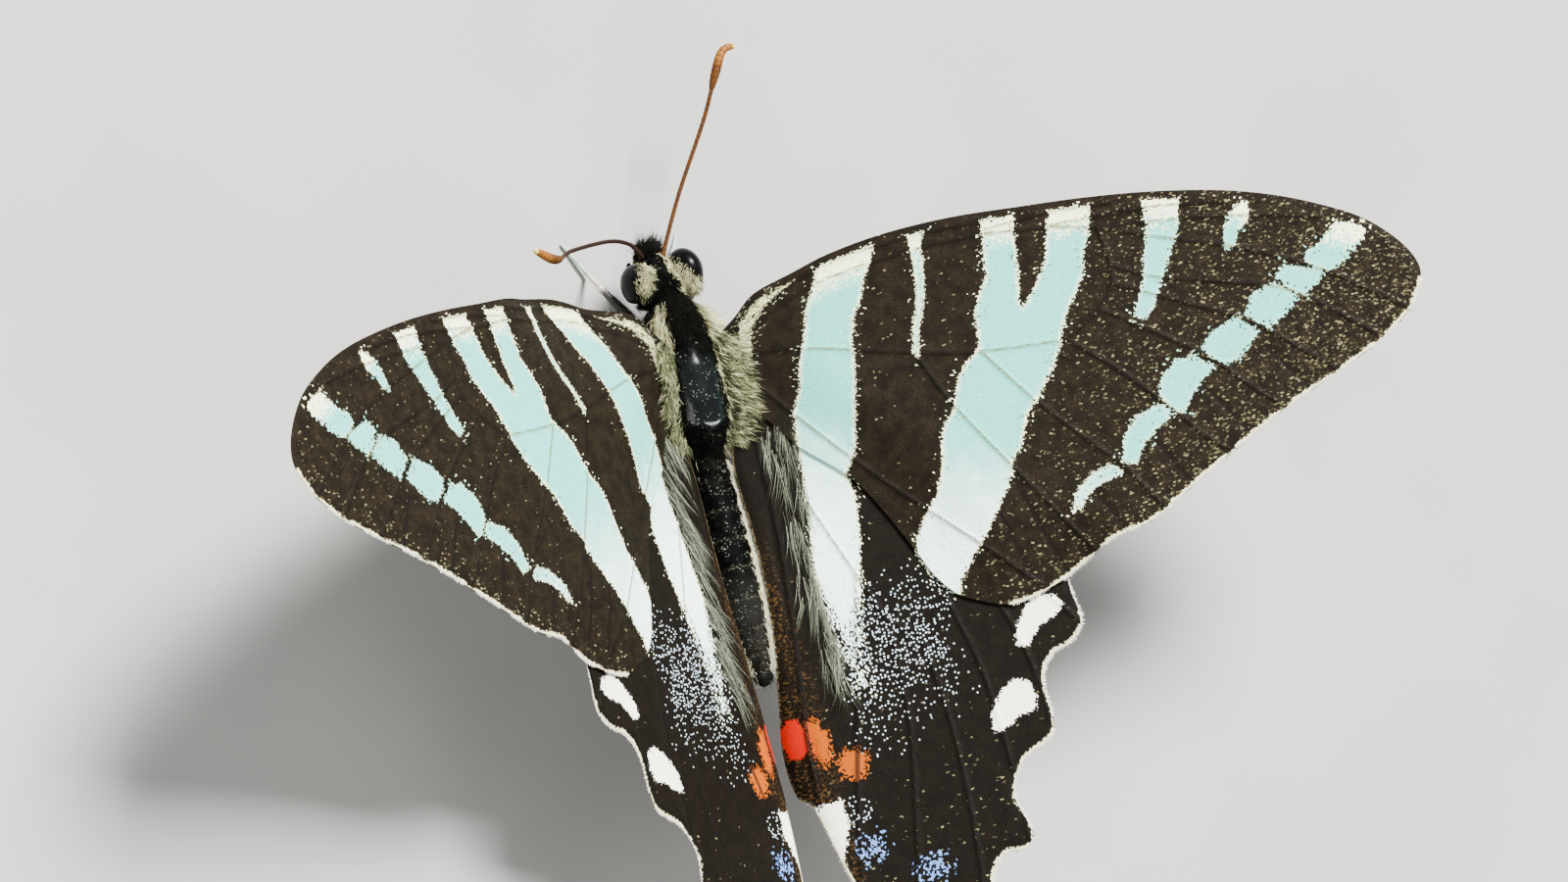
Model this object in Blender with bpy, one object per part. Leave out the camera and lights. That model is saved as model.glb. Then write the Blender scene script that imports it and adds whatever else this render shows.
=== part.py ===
# Zebra swallowtail butterfly at life size, standing on its six feet with the wings raised.
# Metres. The head points along -Y, the animal's left side is +X and the floor is at Z = 0.
# Shapes are written in millimetres from the wing hinges' level, then scaled by MM.

import math

import bpy
import numpy as np
from mathutils import Vector
from mathutils.geometry import delaunay_2d_cdt

MM = 0.001
GAP = 0.3                       # clearance between neighbouring pieces
HINGE_HEIGHT = 6.0              # wing hinges above the floor
CENTRE_SHIFT = -18.9            # moves the model so that its box is centred over the origin
FLOOR = -HINGE_HEIGHT

WING_RAISE = math.radians(30)   # each wing above the horizontal
MEMBRANE = 0.5
VEIN_RIDGE = 0.2
VEIN_HALF_WIDTH = 0.38
GRID_STEP = 3.2                 # spacing of the points inside a wing
VEIN_STEP = 2.6                 # spacing of the points along a vein
GRID_FROM_EDGE = 1.28           # inner points keep this far from the wing's edge
GRID_FROM_VEIN = 0.95
MERGE_FLAT = 0.08               # points of a wing's net nearer than this become one
MERGE_EDGE = 0.05               # and so do points of an outline where two stretches meet
RIM_FADE = 0.8                  # veins sink into the membrane this near the edge
TAIL_CUT = 37.5                 # where each tail becomes a piece of its own

# A wing droops with the square of the distance beyond these places, and its inner edge bends down.
DROOP_OUT_FROM = 10.0
DROOP_OUT = 0.0008
DROOP_BACK_FROM = 32.0
DROOP_BACK = 0.0012
INNER_FOLD_FROM = -0.46
INNER_FOLD = 0.157

# The left forewing's front edge is bent down near the body and drawn in further out.
LEFT_LOWERED = 1.5
LEFT_DRAWN_IN = 0.5
FLEX_FROM = 1.0                 # the flex grows forward of here, and is full after FLEX_LENGTH
FLEX_LENGTH = 6.5
LOWERED_RISE = (1.5, 6.0)       # out along the wing: where the lowering sets in, and where it ends
LOWERED_END = (9.0, 17.0)
DRAWN_RISE = (8.0, 14.0)
DRAWN_END = (30.0, 39.0)

FORE_HINGE = (2.0, 0.15, 0.45)
HIND_HINGE = (2.6, -0.05, -0.654)

HEAD_TURN = math.radians(9)     # the head looks a little to the animal's left
HEAD_PIVOT = (0.0, -6.6)
EYE_CENTRE = (1.7, -6.9, -1.1)
EYE_RADII = (0.98, 1.34, 1.33)
EYE_INNER = 0.95                # the eyes are flat on the inside, this far from the head's middle
EYE_TURNS = 16
EYE_LEVELS = 10
LEG_SIDES = 8
BODY_SIDES = 20
COIL_SIDES = 6

# Wing outlines and veins run in the wing's own plane: out from the hinge, then back along the body.
FORE_OUTLINE = [
    (-0.1, -2.8), (1.0, -3.5), (2.5, -4.6), (5.0, -5.2), (7.5, -5.75), (11.0, -6.05),
    (15.0, -5.95), (19.0, -5.5), (23.0, -5.0), (27.0, -4.3), (31.0, -3.3), (34.0, -2.2),
    (36.5, -0.95), (38.7, 0.45), (40.3, 2.1), (41.2, 3.7), (41.2, 5.0), (40.1, 6.5),
    (38.0, 7.9), (35.0, 9.1), (32.0, 10.2), (29.0, 11.5), (26.0, 12.9), (23.0, 14.4),
    (21.5, 15.0), (19.5, 15.3), (17.8, 16.0), (16.0, 16.8), (14.0, 17.35), (12.5, 17.5),
    (11.0, 16.9), (9.6, 16.05), (8.6, 14.7), (7.6, 12.3), (6.5, 9.8), (5.2, 7.5),
    (2.7, 4.9), (1.2, 2.7), (-0.1, 1.3),
]
HIND_OUTER = [
    (0.0, 1.8), (2.0, 0.9), (4.5, 1.7), (8.0, 4.6), (12.0, 9.2), (15.0, 13.4), (16.0, 16.0),
    (16.15, 18.0), (16.3, 19.2), (16.1, 20.1), (15.2, 20.8), (14.2, 21.1), (13.4, 21.9),
    (13.05, 23.0), (13.1, 24.6), (12.8, 25.8), (11.9, 26.3), (10.8, 26.8), (9.9, 27.9),
    (9.7, 29.1), (10.0, 30.3), (10.1, 31.4), (9.4, 32.0), (8.4, 31.9), (7.5, 32.6),
    (7.0, 33.8), (6.9, 35.3), (7.0, TAIL_CUT - GAP / 2),
]
HIND_INNER = [
    (4.9, TAIL_CUT - GAP / 2), (4.6, 36.4), (3.9, 35.5), (3.0, 35.1), (2.3, 35.0),
    (1.8, 34.3), (1.4, 33.3), (0.8, 32.6), (0.0, 32.3), (-0.6, 32.0), (-0.9, 31.2),
    (-1.2, 30.0), (-1.8, 27.0), (-2.1, 26.1), (-2.8, 25.4), (-3.0, 24.0), (-2.95, 22.3),
    (-2.5, 20.5), (-1.2, 16.0), (-0.7, 12.5), (-0.45, 8.0), (-0.3, 3.4),
]
TAIL_OUTER = [
    (7.0, TAIL_CUT + GAP / 2), (6.95, 41.0), (7.15, 45.0), (7.7, 49.0), (8.5, 53.0),
    (9.1, 55.7), (9.0, 57.2), (8.2, 57.9),
]
TAIL_INNER = [
    (8.2, 57.9), (7.3, 57.0), (6.5, 54.2), (5.6, 50.0), (5.0, 45.5), (4.8, 41.0),
    (4.9, TAIL_CUT + GAP / 2),
]

FORE_VEINS = {
    "subcosta": [(0.9, -2.7), (6.0, -4.95), (12.0, -5.45), (17.5, -5.2)],
    "radius": [(0.9, -2.1), (5.5, -4.0), (10.0, -4.55), (15.0, -4.55), (20.0, -3.9), (23.4, -3.0)],
    "radius_1": [(15.0, -4.55), (20.0, -4.7), (24.5, -4.3)],
    "radius_2": [(20.0, -3.9), (26.0, -3.5), (31.0, -2.6)],
    "radius_3": [(23.4, -3.0), (28.5, -2.2), (33.0, -1.2), (36.4, -0.2)],
    "radius_4": [(23.4, -3.0), (27.0, -1.4), (31.0, 0.3), (35.3, 2.7), (38.2, 5.0), (39.8, 6.3)],
    "radius_5": [(23.5, -0.6), (26.0, 0.8), (30.0, 2.2), (33.4, 3.6), (36.5, 6.3), (37.8, 7.6)],
    "median_1": [(23.3, 0.5), (27.0, 2.6), (30.7, 4.9), (33.4, 7.5), (34.8, 8.9)],
    "median_2": [(22.2, 1.8), (25.0, 4.0), (27.8, 6.4), (30.0, 9.0), (31.2, 10.2)],
    "median_3": [(19.9, 3.1), (22.2, 5.5), (24.7, 8.6), (26.4, 11.0), (27.4, 12.0)],
    "cell_end": [(23.4, -3.0), (23.5, -0.6), (22.9, 1.2), (19.9, 3.1)],
    "cubitus": [(0.9, -1.2), (4.5, -0.6), (10.8, 1.4), (14.7, 2.4), (19.9, 3.1)],
    "cubitus_1": [(14.7, 2.4), (17.0, 6.0), (19.5, 9.3), (21.1, 11.3), (22.7, 14.2)],
    "cubitus_2": [(10.8, 1.4), (12.3, 5.1), (14.6, 9.4), (16.6, 13.0), (18.1, 15.6)],
    "anal_2": [(0.8, 0.0), (3.4, 3.6), (7.0, 8.2), (11.0, 12.8), (14.6, 16.9)],
}
HIND_VEINS = {
    "radius": [(1.2, 2.2), (6.0, 4.2), (11.0, 9.2), (14.6, 13.8), (15.8, 17.0)],
    "sector": [(1.2, 2.8), (5.0, 5.6), (8.5, 9.6), (12.0, 14.0), (15.0, 18.0), (16.0, 19.5)],
    "median_1": [(10.0, 13.0), (12.0, 18.0), (12.8, 22.0), (12.9, 25.2)],
    "median_2": [(8.8, 16.0), (9.8, 21.0), (10.0, 27.0), (9.9, 31.4)],
    "median_3": [(6.8, 17.6), (7.2, 24.0), (6.8, 31.0), (5.95, TAIL_CUT - 0.6)],
    "cell_end": [(8.5, 9.6), (10.0, 13.0), (8.8, 16.0), (6.8, 17.6), (5.2, 16.8)],
    "cubitus": [(0.8, 3.0), (1.9, 7.0), (3.2, 11.0), (5.2, 16.8)],
    "cubitus_1": [(5.2, 16.8), (4.8, 23.0), (3.6, 29.0), (2.5, 34.4)],
    "cubitus_2": [(4.0, 13.4), (2.4, 20.0), (0.8, 26.0), (-0.4, 31.4)],
    "anal": [(0.4, 3.6), (0.2, 10.0), (-0.6, 17.0), (-1.3, 22.0), (-1.6, 25.6)],
}
TAIL_VEINS = {
    "median_3": [(5.95, TAIL_CUT + 0.6), (5.95, 43.0), (6.6, 50.0), (7.9, 56.6)],
}

# Rings of the body: place along the body, height of the middle, half width, half height.
HEAD_RINGS = [
    (-5.95, -1.15, 0.95, 0.85), (-6.4, -1.2, 1.2, 1.05), (-7.0, -1.35, 1.3, 1.1),
    (-7.7, -1.6, 1.3, 1.05), (-8.3, -1.95, 1.15, 0.9), (-8.8, -2.1, 0.8, 0.7),
    (-9.05, -2.2, 0.4, 0.35),
]
THORAX_RINGS = [
    (-5.5, -1.1, 0.9, 0.9), (-5.1, -1.1, 1.3, 1.35), (-4.3, -1.2, 1.95, 2.0),
    (-3.0, -1.4, 2.25, 2.3), (-1.0, -1.45, 2.4, 2.4), (1.0, -1.5, 2.35, 2.3),
    (2.6, -1.65, 2.05, 1.95), (3.5, -1.8, 1.6, 1.55), (3.8, -1.9, 1.3, 1.3),
]
ABDOMEN_RINGS = [
    (4.1, -1.95, 1.25, 1.25), (5.2, -2.0, 1.4, 1.4), (7.0, -2.1, 1.5, 1.5),
    (9.0, -2.15, 1.6, 1.58), (11.0, -2.2, 1.65, 1.62), (13.0, -2.2, 1.58, 1.55),
    (15.0, -2.1, 1.35, 1.32), (16.8, -2.0, 1.0, 1.0), (18.0, -1.95, 0.62, 0.6),
    (18.5, -1.93, 0.25, 0.25),
]
SEGMENT_JOINTS = [5.9, 7.7, 9.5, 11.3, 13.2, 15.0, 16.6]
SEGMENT_GROOVE = 0.07
GROOVE_HALF_WIDTH = 0.25

PALP_PATH = [(0.66, -7.95, -3.2), (0.68, -8.35, -3.32), (0.67, -8.72, -3.12)]
PALP_RADII = (0.24, 0.25, 0.18)
COIL_CENTRE = (-7.5, -3.88)
COIL_TURNS = 1.25
COIL_STEPS = 18
COIL_OUTER = 0.75
COIL_INNER = 0.38
PROBOSCIS_RADIUS = 0.16

ANTENNA_RIGHT = [
    (-0.43, -8.4, -0.9), (-2.0, -11.6, 0.0), (-4.2, -15.5, 1.3), (-5.3, -18.0, 2.2),
    (-6.0, -19.25, 2.55), (-6.9, -19.45, 2.7),
]
ANTENNA_LEFT = [
    (1.13, -8.45, -0.9), (2.0, -9.1, -0.4), (3.9, -9.25, 0.6), (7.3, -8.7, 2.2),
    (9.2, -8.05, 3.5), (11.3, -8.5, 5.0),
]
SHAFT_RADIUS = 0.22
CLUB_RADIUS = 0.32
CLUB_LENGTH = 2.9
CLUB_SHAPE = 0.8                # below 1 sets the club's widest place nearer its root
ANTENNA_STEP = 0.95

# Legs from the body outwards: hip, knee, ankle, toe. The toe's axis is one radius above the floor.
LEGS = {
    "foreleg_left": [(0.95, -4.0, -3.55), (3.2, -7.25, -3.0), (2.42, -8.8, -5.55), (3.5, -11.0, -5.8)],
    "foreleg_right": [(-0.95, -4.0, -3.55), (-3.5, -7.1, -3.0), (-3.1, -8.4, -5.55), (-4.4, -10.4, -5.8)],
    "midleg_left": [(1.25, -1.1, -4.0), (5.2, -2.4, -2.7), (7.0, -3.1, -5.5), (9.6, -4.4, -5.8)],
    "midleg_right": [(-1.25, -1.1, -4.0), (-5.3, -2.0, -2.7), (-7.2, -2.4, -5.5), (-9.9, -3.2, -5.8)],
    "hindleg_left": [(1.1, 1.7, -3.85), (4.6, 5.4, -2.9), (6.2, 9.8, -5.5), (7.4, 13.8, -5.8)],
    "hindleg_right": [(-1.1, 1.7, -3.85), (-4.8, 5.2, -2.9), (-6.6, 9.5, -5.5), (-8.1, 13.4, -5.8)],
}
FEMUR_RADII = (0.4, 0.42, 0.3)
TIBIA_RADII = (0.27, 0.27, 0.25)
TARSUS_RADII = (0.25, 0.25, 0.2)


def clear_scene():
    for item in list(bpy.data.objects):
        bpy.data.objects.remove(item)


def make_material(name, colour, roughness, metallic=0.0):
    material = bpy.data.materials.new(name)
    material.use_nodes = True
    shader = material.node_tree.nodes["Principled BSDF"]
    shader.inputs["Base Color"].default_value = (*colour, 1.0)
    shader.inputs["Roughness"].default_value = roughness
    shader.inputs["Metallic"].default_value = metallic
    return material


def add_piece(name, points, faces, material, parent, smooth=True):
    """Makes one closed piece from points in millimetres about the wing hinges' level."""
    middle = sum((Vector(point) for point in points), Vector()) / len(points)
    mesh = bpy.data.meshes.new(name)
    mesh.from_pydata([(Vector(point) - middle) * MM for point in points], [], faces)
    mesh.update()
    mesh.materials.append(material)
    if smooth:
        mesh.shade_smooth()
    piece = bpy.data.objects.new(name, mesh)
    piece.location = middle * MM
    piece.parent = parent
    bpy.context.scene.collection.objects.link(piece)
    return piece


def smooth_line(points, steps):
    """Points on a Catmull-Rom curve that passes through all the given points."""
    corners = [Vector(point) for point in points]
    corners = [2 * corners[0] - corners[1]] + corners + [2 * corners[-1] - corners[-2]]
    line = []
    for before, start, end, after in zip(corners, corners[1:], corners[2:], corners[3:]):
        for step in range(steps):
            t = step / steps
            line.append(0.5 * (
                2 * start + (end - before) * t
                + (2 * before - 5 * start + 4 * end - after) * t ** 2
                + (3 * start - before - 3 * end + after) * t ** 3
            ))
    return line + [corners[-2]]


def spaced_line(points, spacing):
    """The smooth curve through the points, resampled to near the given spacing."""
    line = np.array([tuple(point) for point in smooth_line(points, 12)])
    reach = np.concatenate([[0], np.cumsum(np.linalg.norm(np.diff(line, axis=0), axis=1))])
    count = max(2, round(reach[-1] / spacing) + 1)
    marks = np.linspace(0, reach[-1], count)
    return np.stack([np.interp(marks, reach, line[:, axis]) for axis in range(line.shape[1])], axis=1)


def join_rings(rings):
    """Closes a stack of equal rings of points with walls and two end caps."""
    sides = len(rings[0])
    points = [point for ring in rings for point in ring]
    faces = []
    for level in range(len(rings) - 1):
        for side in range(sides):
            low, high = level * sides, (level + 1) * sides
            after = (side + 1) % sides
            faces.append((low + side, low + after, high + after, high + side))
    faces.append(tuple(reversed(range(sides))))
    faces.append(tuple(range((len(rings) - 1) * sides, len(rings) * sides)))
    return points, faces


def body_rings(stations, sides, grooves=(), depth=0.0):
    """Ellipses across the body axis, with a shallow groove at each given place."""
    places = np.array(stations)
    marks = [station[0] for station in stations]
    for groove in grooves:
        marks += [groove - GROOVE_HALF_WIDTH, groove, groove + GROOVE_HALF_WIDTH]
    rings = []
    for mark in sorted(marks):
        height, half_width, half_height = (
            np.interp(mark, places[:, 0], places[:, column]) for column in (1, 2, 3)
        )
        pinch = depth if any(abs(mark - groove) < 0.01 for groove in grooves) else 0.0
        angles = [2 * math.pi * side / sides for side in range(sides)]
        rings.append([
            ((half_width - pinch) * math.cos(angle), mark, height - (half_height - pinch) * math.sin(angle))
            for angle in angles
        ])
    return rings


def tube_rings(path, radii, sides, floor=None):
    """Rings round a path. Points under the floor are laid on it, which makes a flat sole."""
    line = [Vector(point) for point in path]
    across = (line[1] - line[0]).cross(Vector((0, 0, 1)))
    rings = []
    for i, point in enumerate(line):
        along = (line[min(i + 1, len(line) - 1)] - line[max(i - 1, 0)]).normalized()
        across = (across - along * across.dot(along)).normalized()
        up = across.cross(along)
        ring = []
        for side in range(sides):
            angle = 2 * math.pi * (side + 0.5) / sides
            spot = point + radii[i] * (math.cos(angle) * across - math.sin(angle) * up)
            if floor is not None:
                spot.z = max(spot.z, floor)
            ring.append(tuple(spot))
        rings.append(ring)
    return rings


def distance_to_line(points, line):
    """How far each point is from a line of points."""
    nearest = np.full(len(points), 1e9)
    for start, end in zip(line, line[1:]):
        run = end - start
        share = np.clip(((points - start) @ run) / (run @ run), 0, 1)
        nearest = np.minimum(nearest, np.linalg.norm(points - start - share[:, None] * run, axis=1))
    return nearest


def inside_outline(points, outline):
    """Which points lie inside a closed outline, by counting crossings."""
    inside = np.zeros(len(points), bool)
    for (x0, y0), (x1, y1) in zip(outline, np.roll(outline, -1, axis=0)):
        crosses = (y0 > points[:, 1]) != (y1 > points[:, 1])
        if y0 != y1:
            inside ^= crosses & (points[:, 0] < x0 + (points[:, 1] - y0) * (x1 - x0) / (y1 - y0))
    return inside


def ease(value, low, high):
    """Rises smoothly from 0 at low to 1 at high."""
    share = min(max((value - low) / (high - low), 0.0), 1.0)
    return share * share * (3 - 2 * share)


def left_flex(out, back):
    """How far a point of the left forewing is drawn in and lowered: most at its front edge."""
    front = min(max((FLEX_FROM - back) / FLEX_LENGTH, 0.0), 1.0)
    drawn_in = LEFT_DRAWN_IN * front * ease(out, *DRAWN_RISE) * (1 - ease(out, *DRAWN_END))
    lowered = LEFT_LOWERED * front * ease(out, *LOWERED_RISE) * (1 - ease(out, *LOWERED_END))
    return drawn_in, lowered


def wing_bend(out, back):
    """How far the wing's middle surface lies above its flat plane."""
    droop_out = DROOP_OUT * max(out - DROOP_OUT_FROM, 0) ** 2
    droop_back = DROOP_BACK * max(back - DROOP_BACK_FROM, 0) ** 2
    inner_fold = INNER_FOLD * max(INNER_FOLD_FROM - out, 0) ** 2
    return -droop_out - droop_back - inner_fold


def wing_shell(outline, veins):
    """A thin closed vane whose two faces share one net of triangles, with the veins raised."""
    points = [tuple(point) for point in outline]
    edges = []
    lines = [spaced_line(vein, VEIN_STEP) for vein in veins.values()]
    for line in lines:
        run = np.gradient(line, axis=0)
        sideways = np.stack([-run[:, 1], run[:, 0]], axis=1)
        sideways *= VEIN_HALF_WIDTH / np.linalg.norm(sideways, axis=1)[:, None]
        for strip in (line - sideways, line, line + sideways):
            first = len(points)
            points += [tuple(point) for point in strip]
            edges += [(first + i, first + i + 1) for i in range(len(strip) - 1)]
    border = np.array([tuple(point) for point in outline])
    low, high = border.min(axis=0), border.max(axis=0)
    grid = np.array([
        (x + GRID_STEP / 2 * (row % 2), y)
        for row, y in enumerate(np.arange(low[1], high[1], GRID_STEP))
        for x in np.arange(low[0], high[0], GRID_STEP)
    ])
    clear = distance_to_line(grid, np.vstack([border, border[:1]])) > GRID_FROM_EDGE
    for line in lines:
        clear &= distance_to_line(grid, line) > GRID_FROM_VEIN
    points += [tuple(point) for point in grid[clear & inside_outline(grid, border)]]

    rim_loop = list(range(len(border)))
    corners = [Vector(point) for point in points]
    net = delaunay_2d_cdt(corners, edges, [rim_loop], 1, MERGE_FLAT)
    used = sorted({corner for face in net[2] for corner in face})
    order = {corner: i for i, corner in enumerate(used)}
    flat = np.array([tuple(net[0][corner]) for corner in used])
    triangles = [tuple(order[corner] for corner in face) for face in net[2]]

    rise = np.zeros(len(flat))
    rim = distance_to_line(flat, np.vstack([border, border[:1]]))
    for line in lines:
        rise = np.maximum(rise, np.clip(1 - distance_to_line(flat, line) / VEIN_HALF_WIDTH, 0, 1))
    rise *= VEIN_RIDGE * np.clip(rim / RIM_FADE, 0, 1)

    middle = [wing_bend(*point) for point in flat]
    top = [(x, y, z + MEMBRANE / 2 + r) for (x, y), z, r in zip(flat, middle, rise)]
    bottom = [(x, y, z - MEMBRANE / 2 - r) for (x, y), z, r in zip(flat, middle, rise)]
    count = len(flat)
    faces = list(triangles) + [tuple(corner + count for corner in reversed(face)) for face in triangles]
    sides = {}
    for face in triangles:
        for a, b in zip(face, face[1:] + face[:1]):
            sides[(a, b)] = (b, a) not in sides
            if (b, a) in sides:
                sides[(b, a)] = sides[(a, b)] = False
    for (a, b), is_rim in sides.items():
        if is_rim:
            faces += [(b, a, a + count), (b, a + count, b + count)]
    return top + bottom, faces


def set_wing(points, faces, hinge, side, flex=None):
    """Raises a flat wing about its hinge, and turns it over for the right side."""
    placed = []
    for out, back, up in points:
        if flex:
            drawn_in, lowered = flex(out, back)
            back += drawn_in
            up -= lowered
        x = hinge[0] + out * math.cos(WING_RAISE) - up * math.sin(WING_RAISE)
        z = hinge[2] + out * math.sin(WING_RAISE) + up * math.cos(WING_RAISE)
        placed.append((side * x, back + hinge[1], z))
    return placed, faces if side > 0 else [tuple(reversed(face)) for face in faces]


def closed_outline(*stretches):
    """Joins smooth stretches into one closed outline, with a corner where they meet."""
    outline = []
    for stretch in stretches:
        for point in smooth_line(stretch, 2):
            if not outline or (point - outline[-1]).length > MERGE_EDGE:
                outline.append(point)
    if (outline[0] - outline[-1]).length < MERGE_EDGE:
        outline.pop()
    return outline


def build_wings(scales, parent):
    wings = {
        "forewing": (closed_outline(FORE_OUTLINE), FORE_VEINS, FORE_HINGE),
        "hindwing": (closed_outline(HIND_OUTER, HIND_INNER), HIND_VEINS, HIND_HINGE),
        "tail": (closed_outline(TAIL_OUTER, TAIL_INNER), TAIL_VEINS, HIND_HINGE),
    }
    for name, (outline, veins, hinge) in wings.items():
        shell = wing_shell(outline, veins)
        for side_name, side in (("left", 1), ("right", -1)):
            flex = left_flex if (name, side) == ("forewing", 1) else None
            points, faces = set_wing(*shell, hinge, side, flex)
            add_piece(f"{name}_{side_name}", points, faces, scales, parent, smooth=False)


def turned(points):
    """Turns points of the head about its pivot."""
    cos, sin = math.cos(HEAD_TURN), math.sin(HEAD_TURN)
    placed = []
    for x, y, z in points:
        aside, ahead = x - HEAD_PIVOT[0], y - HEAD_PIVOT[1]
        placed.append((
            HEAD_PIVOT[0] + aside * cos - ahead * sin, HEAD_PIVOT[1] + aside * sin + ahead * cos, z
        ))
    return placed


def add_head_piece(name, rings, material, parent):
    points, faces = join_rings(rings)
    return add_piece(name, turned(points), faces, material, parent)


def build_eye(name, side, growth, material, parent):
    """An ellipsoid, flat on the inside. A slightly larger one cuts the eye's socket in the head."""
    wide, long, tall = (radius + growth for radius in EYE_RADII)
    rings = []
    for level in range(1, EYE_LEVELS):
        tilt = math.pi * level / EYE_LEVELS
        ring = []
        for turn in range(EYE_TURNS):
            angle = 2 * math.pi * turn / EYE_TURNS
            aside = EYE_CENTRE[0] + side * wide * math.sin(tilt) * math.cos(angle)
            ring.append((
                side * max(aside, EYE_INNER - growth),
                EYE_CENTRE[1] + long * math.sin(tilt) * math.sin(angle),
                EYE_CENTRE[2] - tall * math.cos(tilt),
            ))
        rings.append(ring)
    return add_head_piece(name, rings, material, parent)


def build_body(parent, skin, eye_material, feeler_material):
    add_piece("thorax", *join_rings(body_rings(THORAX_RINGS, BODY_SIDES)), skin, parent)
    abdomen = body_rings(ABDOMEN_RINGS, BODY_SIDES, SEGMENT_JOINTS, SEGMENT_GROOVE)
    add_piece("abdomen", *join_rings(abdomen), skin, parent)

    head = add_head_piece("head", body_rings(HEAD_RINGS, BODY_SIDES), skin, parent)
    for side_name, side in (("left", 1), ("right", -1)):
        build_eye(f"eye_{side_name}", side, 0.0, eye_material, parent)
        socket = build_eye(f"socket_{side_name}", side, GAP, eye_material, parent)
        socket.hide_render = True
        socket.display_type = "WIRE"
        cut = head.modifiers.new(socket.name, "BOOLEAN")
        cut.operation = "DIFFERENCE"
        cut.object = socket

    for side_name, side in (("left", 1), ("right", -1)):
        palp = tube_rings([(side * x, y, z) for x, y, z in PALP_PATH], PALP_RADII, LEG_SIDES)
        add_head_piece(f"palp_{side_name}", palp, skin, parent)

    coil = []
    for step in range(COIL_STEPS + 1):
        share = step / COIL_STEPS
        turn = 2 * math.pi * COIL_TURNS * share
        reach = COIL_OUTER + (COIL_INNER - COIL_OUTER) * share
        coil.append((0.0, COIL_CENTRE[0] + reach * math.sin(turn), COIL_CENTRE[1] + reach * math.cos(turn)))
    proboscis = tube_rings(coil, [PROBOSCIS_RADIUS] * len(coil), COIL_SIDES)
    add_head_piece("proboscis", proboscis, feeler_material, parent)


def build_antenna(name, route, material, parent):
    """A slim shaft with a long club whose end narrows."""
    path = spaced_line(route, ANTENNA_STEP)
    reach = np.concatenate([[0], np.cumsum(np.linalg.norm(np.diff(path, axis=0), axis=1))])
    to_tip = reach[-1] - reach
    radii = []
    for left in to_tip:
        swell = math.sin(math.pi * min(max((CLUB_LENGTH - left) / CLUB_LENGTH, 0), 1) ** CLUB_SHAPE)
        radii.append(SHAFT_RADIUS + (CLUB_RADIUS - SHAFT_RADIUS) * swell)
    rings = tube_rings(path, radii, LEG_SIDES)
    add_piece(name, *join_rings(rings), material, parent)


def between(start, end, from_gap, to_gap, count):
    """Evenly spaced points from near one place to near another."""
    start, end = Vector(start), Vector(end)
    along = (end - start).normalized()
    first, last = start + along * from_gap, end - along * to_gap
    return [first.lerp(last, i / (count - 1)) for i in range(count)]


def build_legs(material, parent):
    for name, (hip, knee, ankle, toe) in LEGS.items():
        femur = tube_rings(between(hip, knee, 0, GAP / 2, 3), FEMUR_RADII, LEG_SIDES)
        tibia = tube_rings(between(knee, ankle, GAP, GAP, 3), TIBIA_RADII, LEG_SIDES)
        tarsus = tube_rings(between(ankle, toe, GAP / 2, 0, 3), TARSUS_RADII, LEG_SIDES, FLOOR)
        for part_name, rings in (("femur", femur), ("tibia", tibia), ("tarsus", tarsus)):
            add_piece(f"{name}_{part_name}", *join_rings(rings), material, parent)


def main():
    clear_scene()
    butterfly = bpy.data.objects.new("butterfly", None)
    butterfly.location = (0, CENTRE_SHIFT * MM, HINGE_HEIGHT * MM)
    bpy.context.scene.collection.objects.link(butterfly)

    wing_scales = make_material("wing_scales", (0.05, 0.035, 0.025), 0.6)
    body_fur = make_material("body_fur", (0.03, 0.03, 0.03), 0.7)
    eye_surface = make_material("eye", (0.01, 0.01, 0.012), 0.15)
    feeler = make_material("feeler", (0.45, 0.16, 0.04), 0.45)
    leg_scales = make_material("leg_scales", (0.2, 0.22, 0.18), 0.6)

    build_wings(wing_scales, butterfly)
    build_body(butterfly, body_fur, eye_surface, feeler)
    build_antenna("antenna_left", ANTENNA_LEFT, feeler, butterfly)
    build_antenna("antenna_right", ANTENNA_RIGHT, feeler, butterfly)
    build_legs(leg_scales, butterfly)


main()
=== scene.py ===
import math
from types import SimpleNamespace

import bpy
import numpy as np
from mathutils import Matrix, Vector


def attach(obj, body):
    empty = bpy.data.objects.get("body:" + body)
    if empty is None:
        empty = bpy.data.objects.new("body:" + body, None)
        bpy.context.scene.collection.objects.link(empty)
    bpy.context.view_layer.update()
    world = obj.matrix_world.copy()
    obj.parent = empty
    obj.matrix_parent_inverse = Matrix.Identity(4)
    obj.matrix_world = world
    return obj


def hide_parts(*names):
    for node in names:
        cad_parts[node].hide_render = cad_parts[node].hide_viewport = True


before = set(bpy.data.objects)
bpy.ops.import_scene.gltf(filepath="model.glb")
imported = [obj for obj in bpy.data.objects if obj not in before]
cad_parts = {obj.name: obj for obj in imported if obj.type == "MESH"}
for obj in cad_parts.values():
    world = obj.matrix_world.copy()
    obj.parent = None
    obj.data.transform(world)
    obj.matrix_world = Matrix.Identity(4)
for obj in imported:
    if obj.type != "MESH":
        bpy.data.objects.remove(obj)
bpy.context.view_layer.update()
mm = 0.001
hingeLevel = 6.0               # height of the wing hinges over the floor, mm
bodyShift = -18.9              # the body's place along Y, mm
sides = {"left": 1, "right": -1}
far = 9.0                      # stands for a line or a patch that a wing doesn't have, mm


# colour and shader helpers
def linear(byte):              # an sRGB value from 0 to 255, as light
    return byte / 255 / 12.92 if byte < 10 else ((byte / 255 + 0.055) / 1.055) ** 2.4


def tone(red, green, blue):
    return linear(red), linear(green), linear(blue), 1


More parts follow.
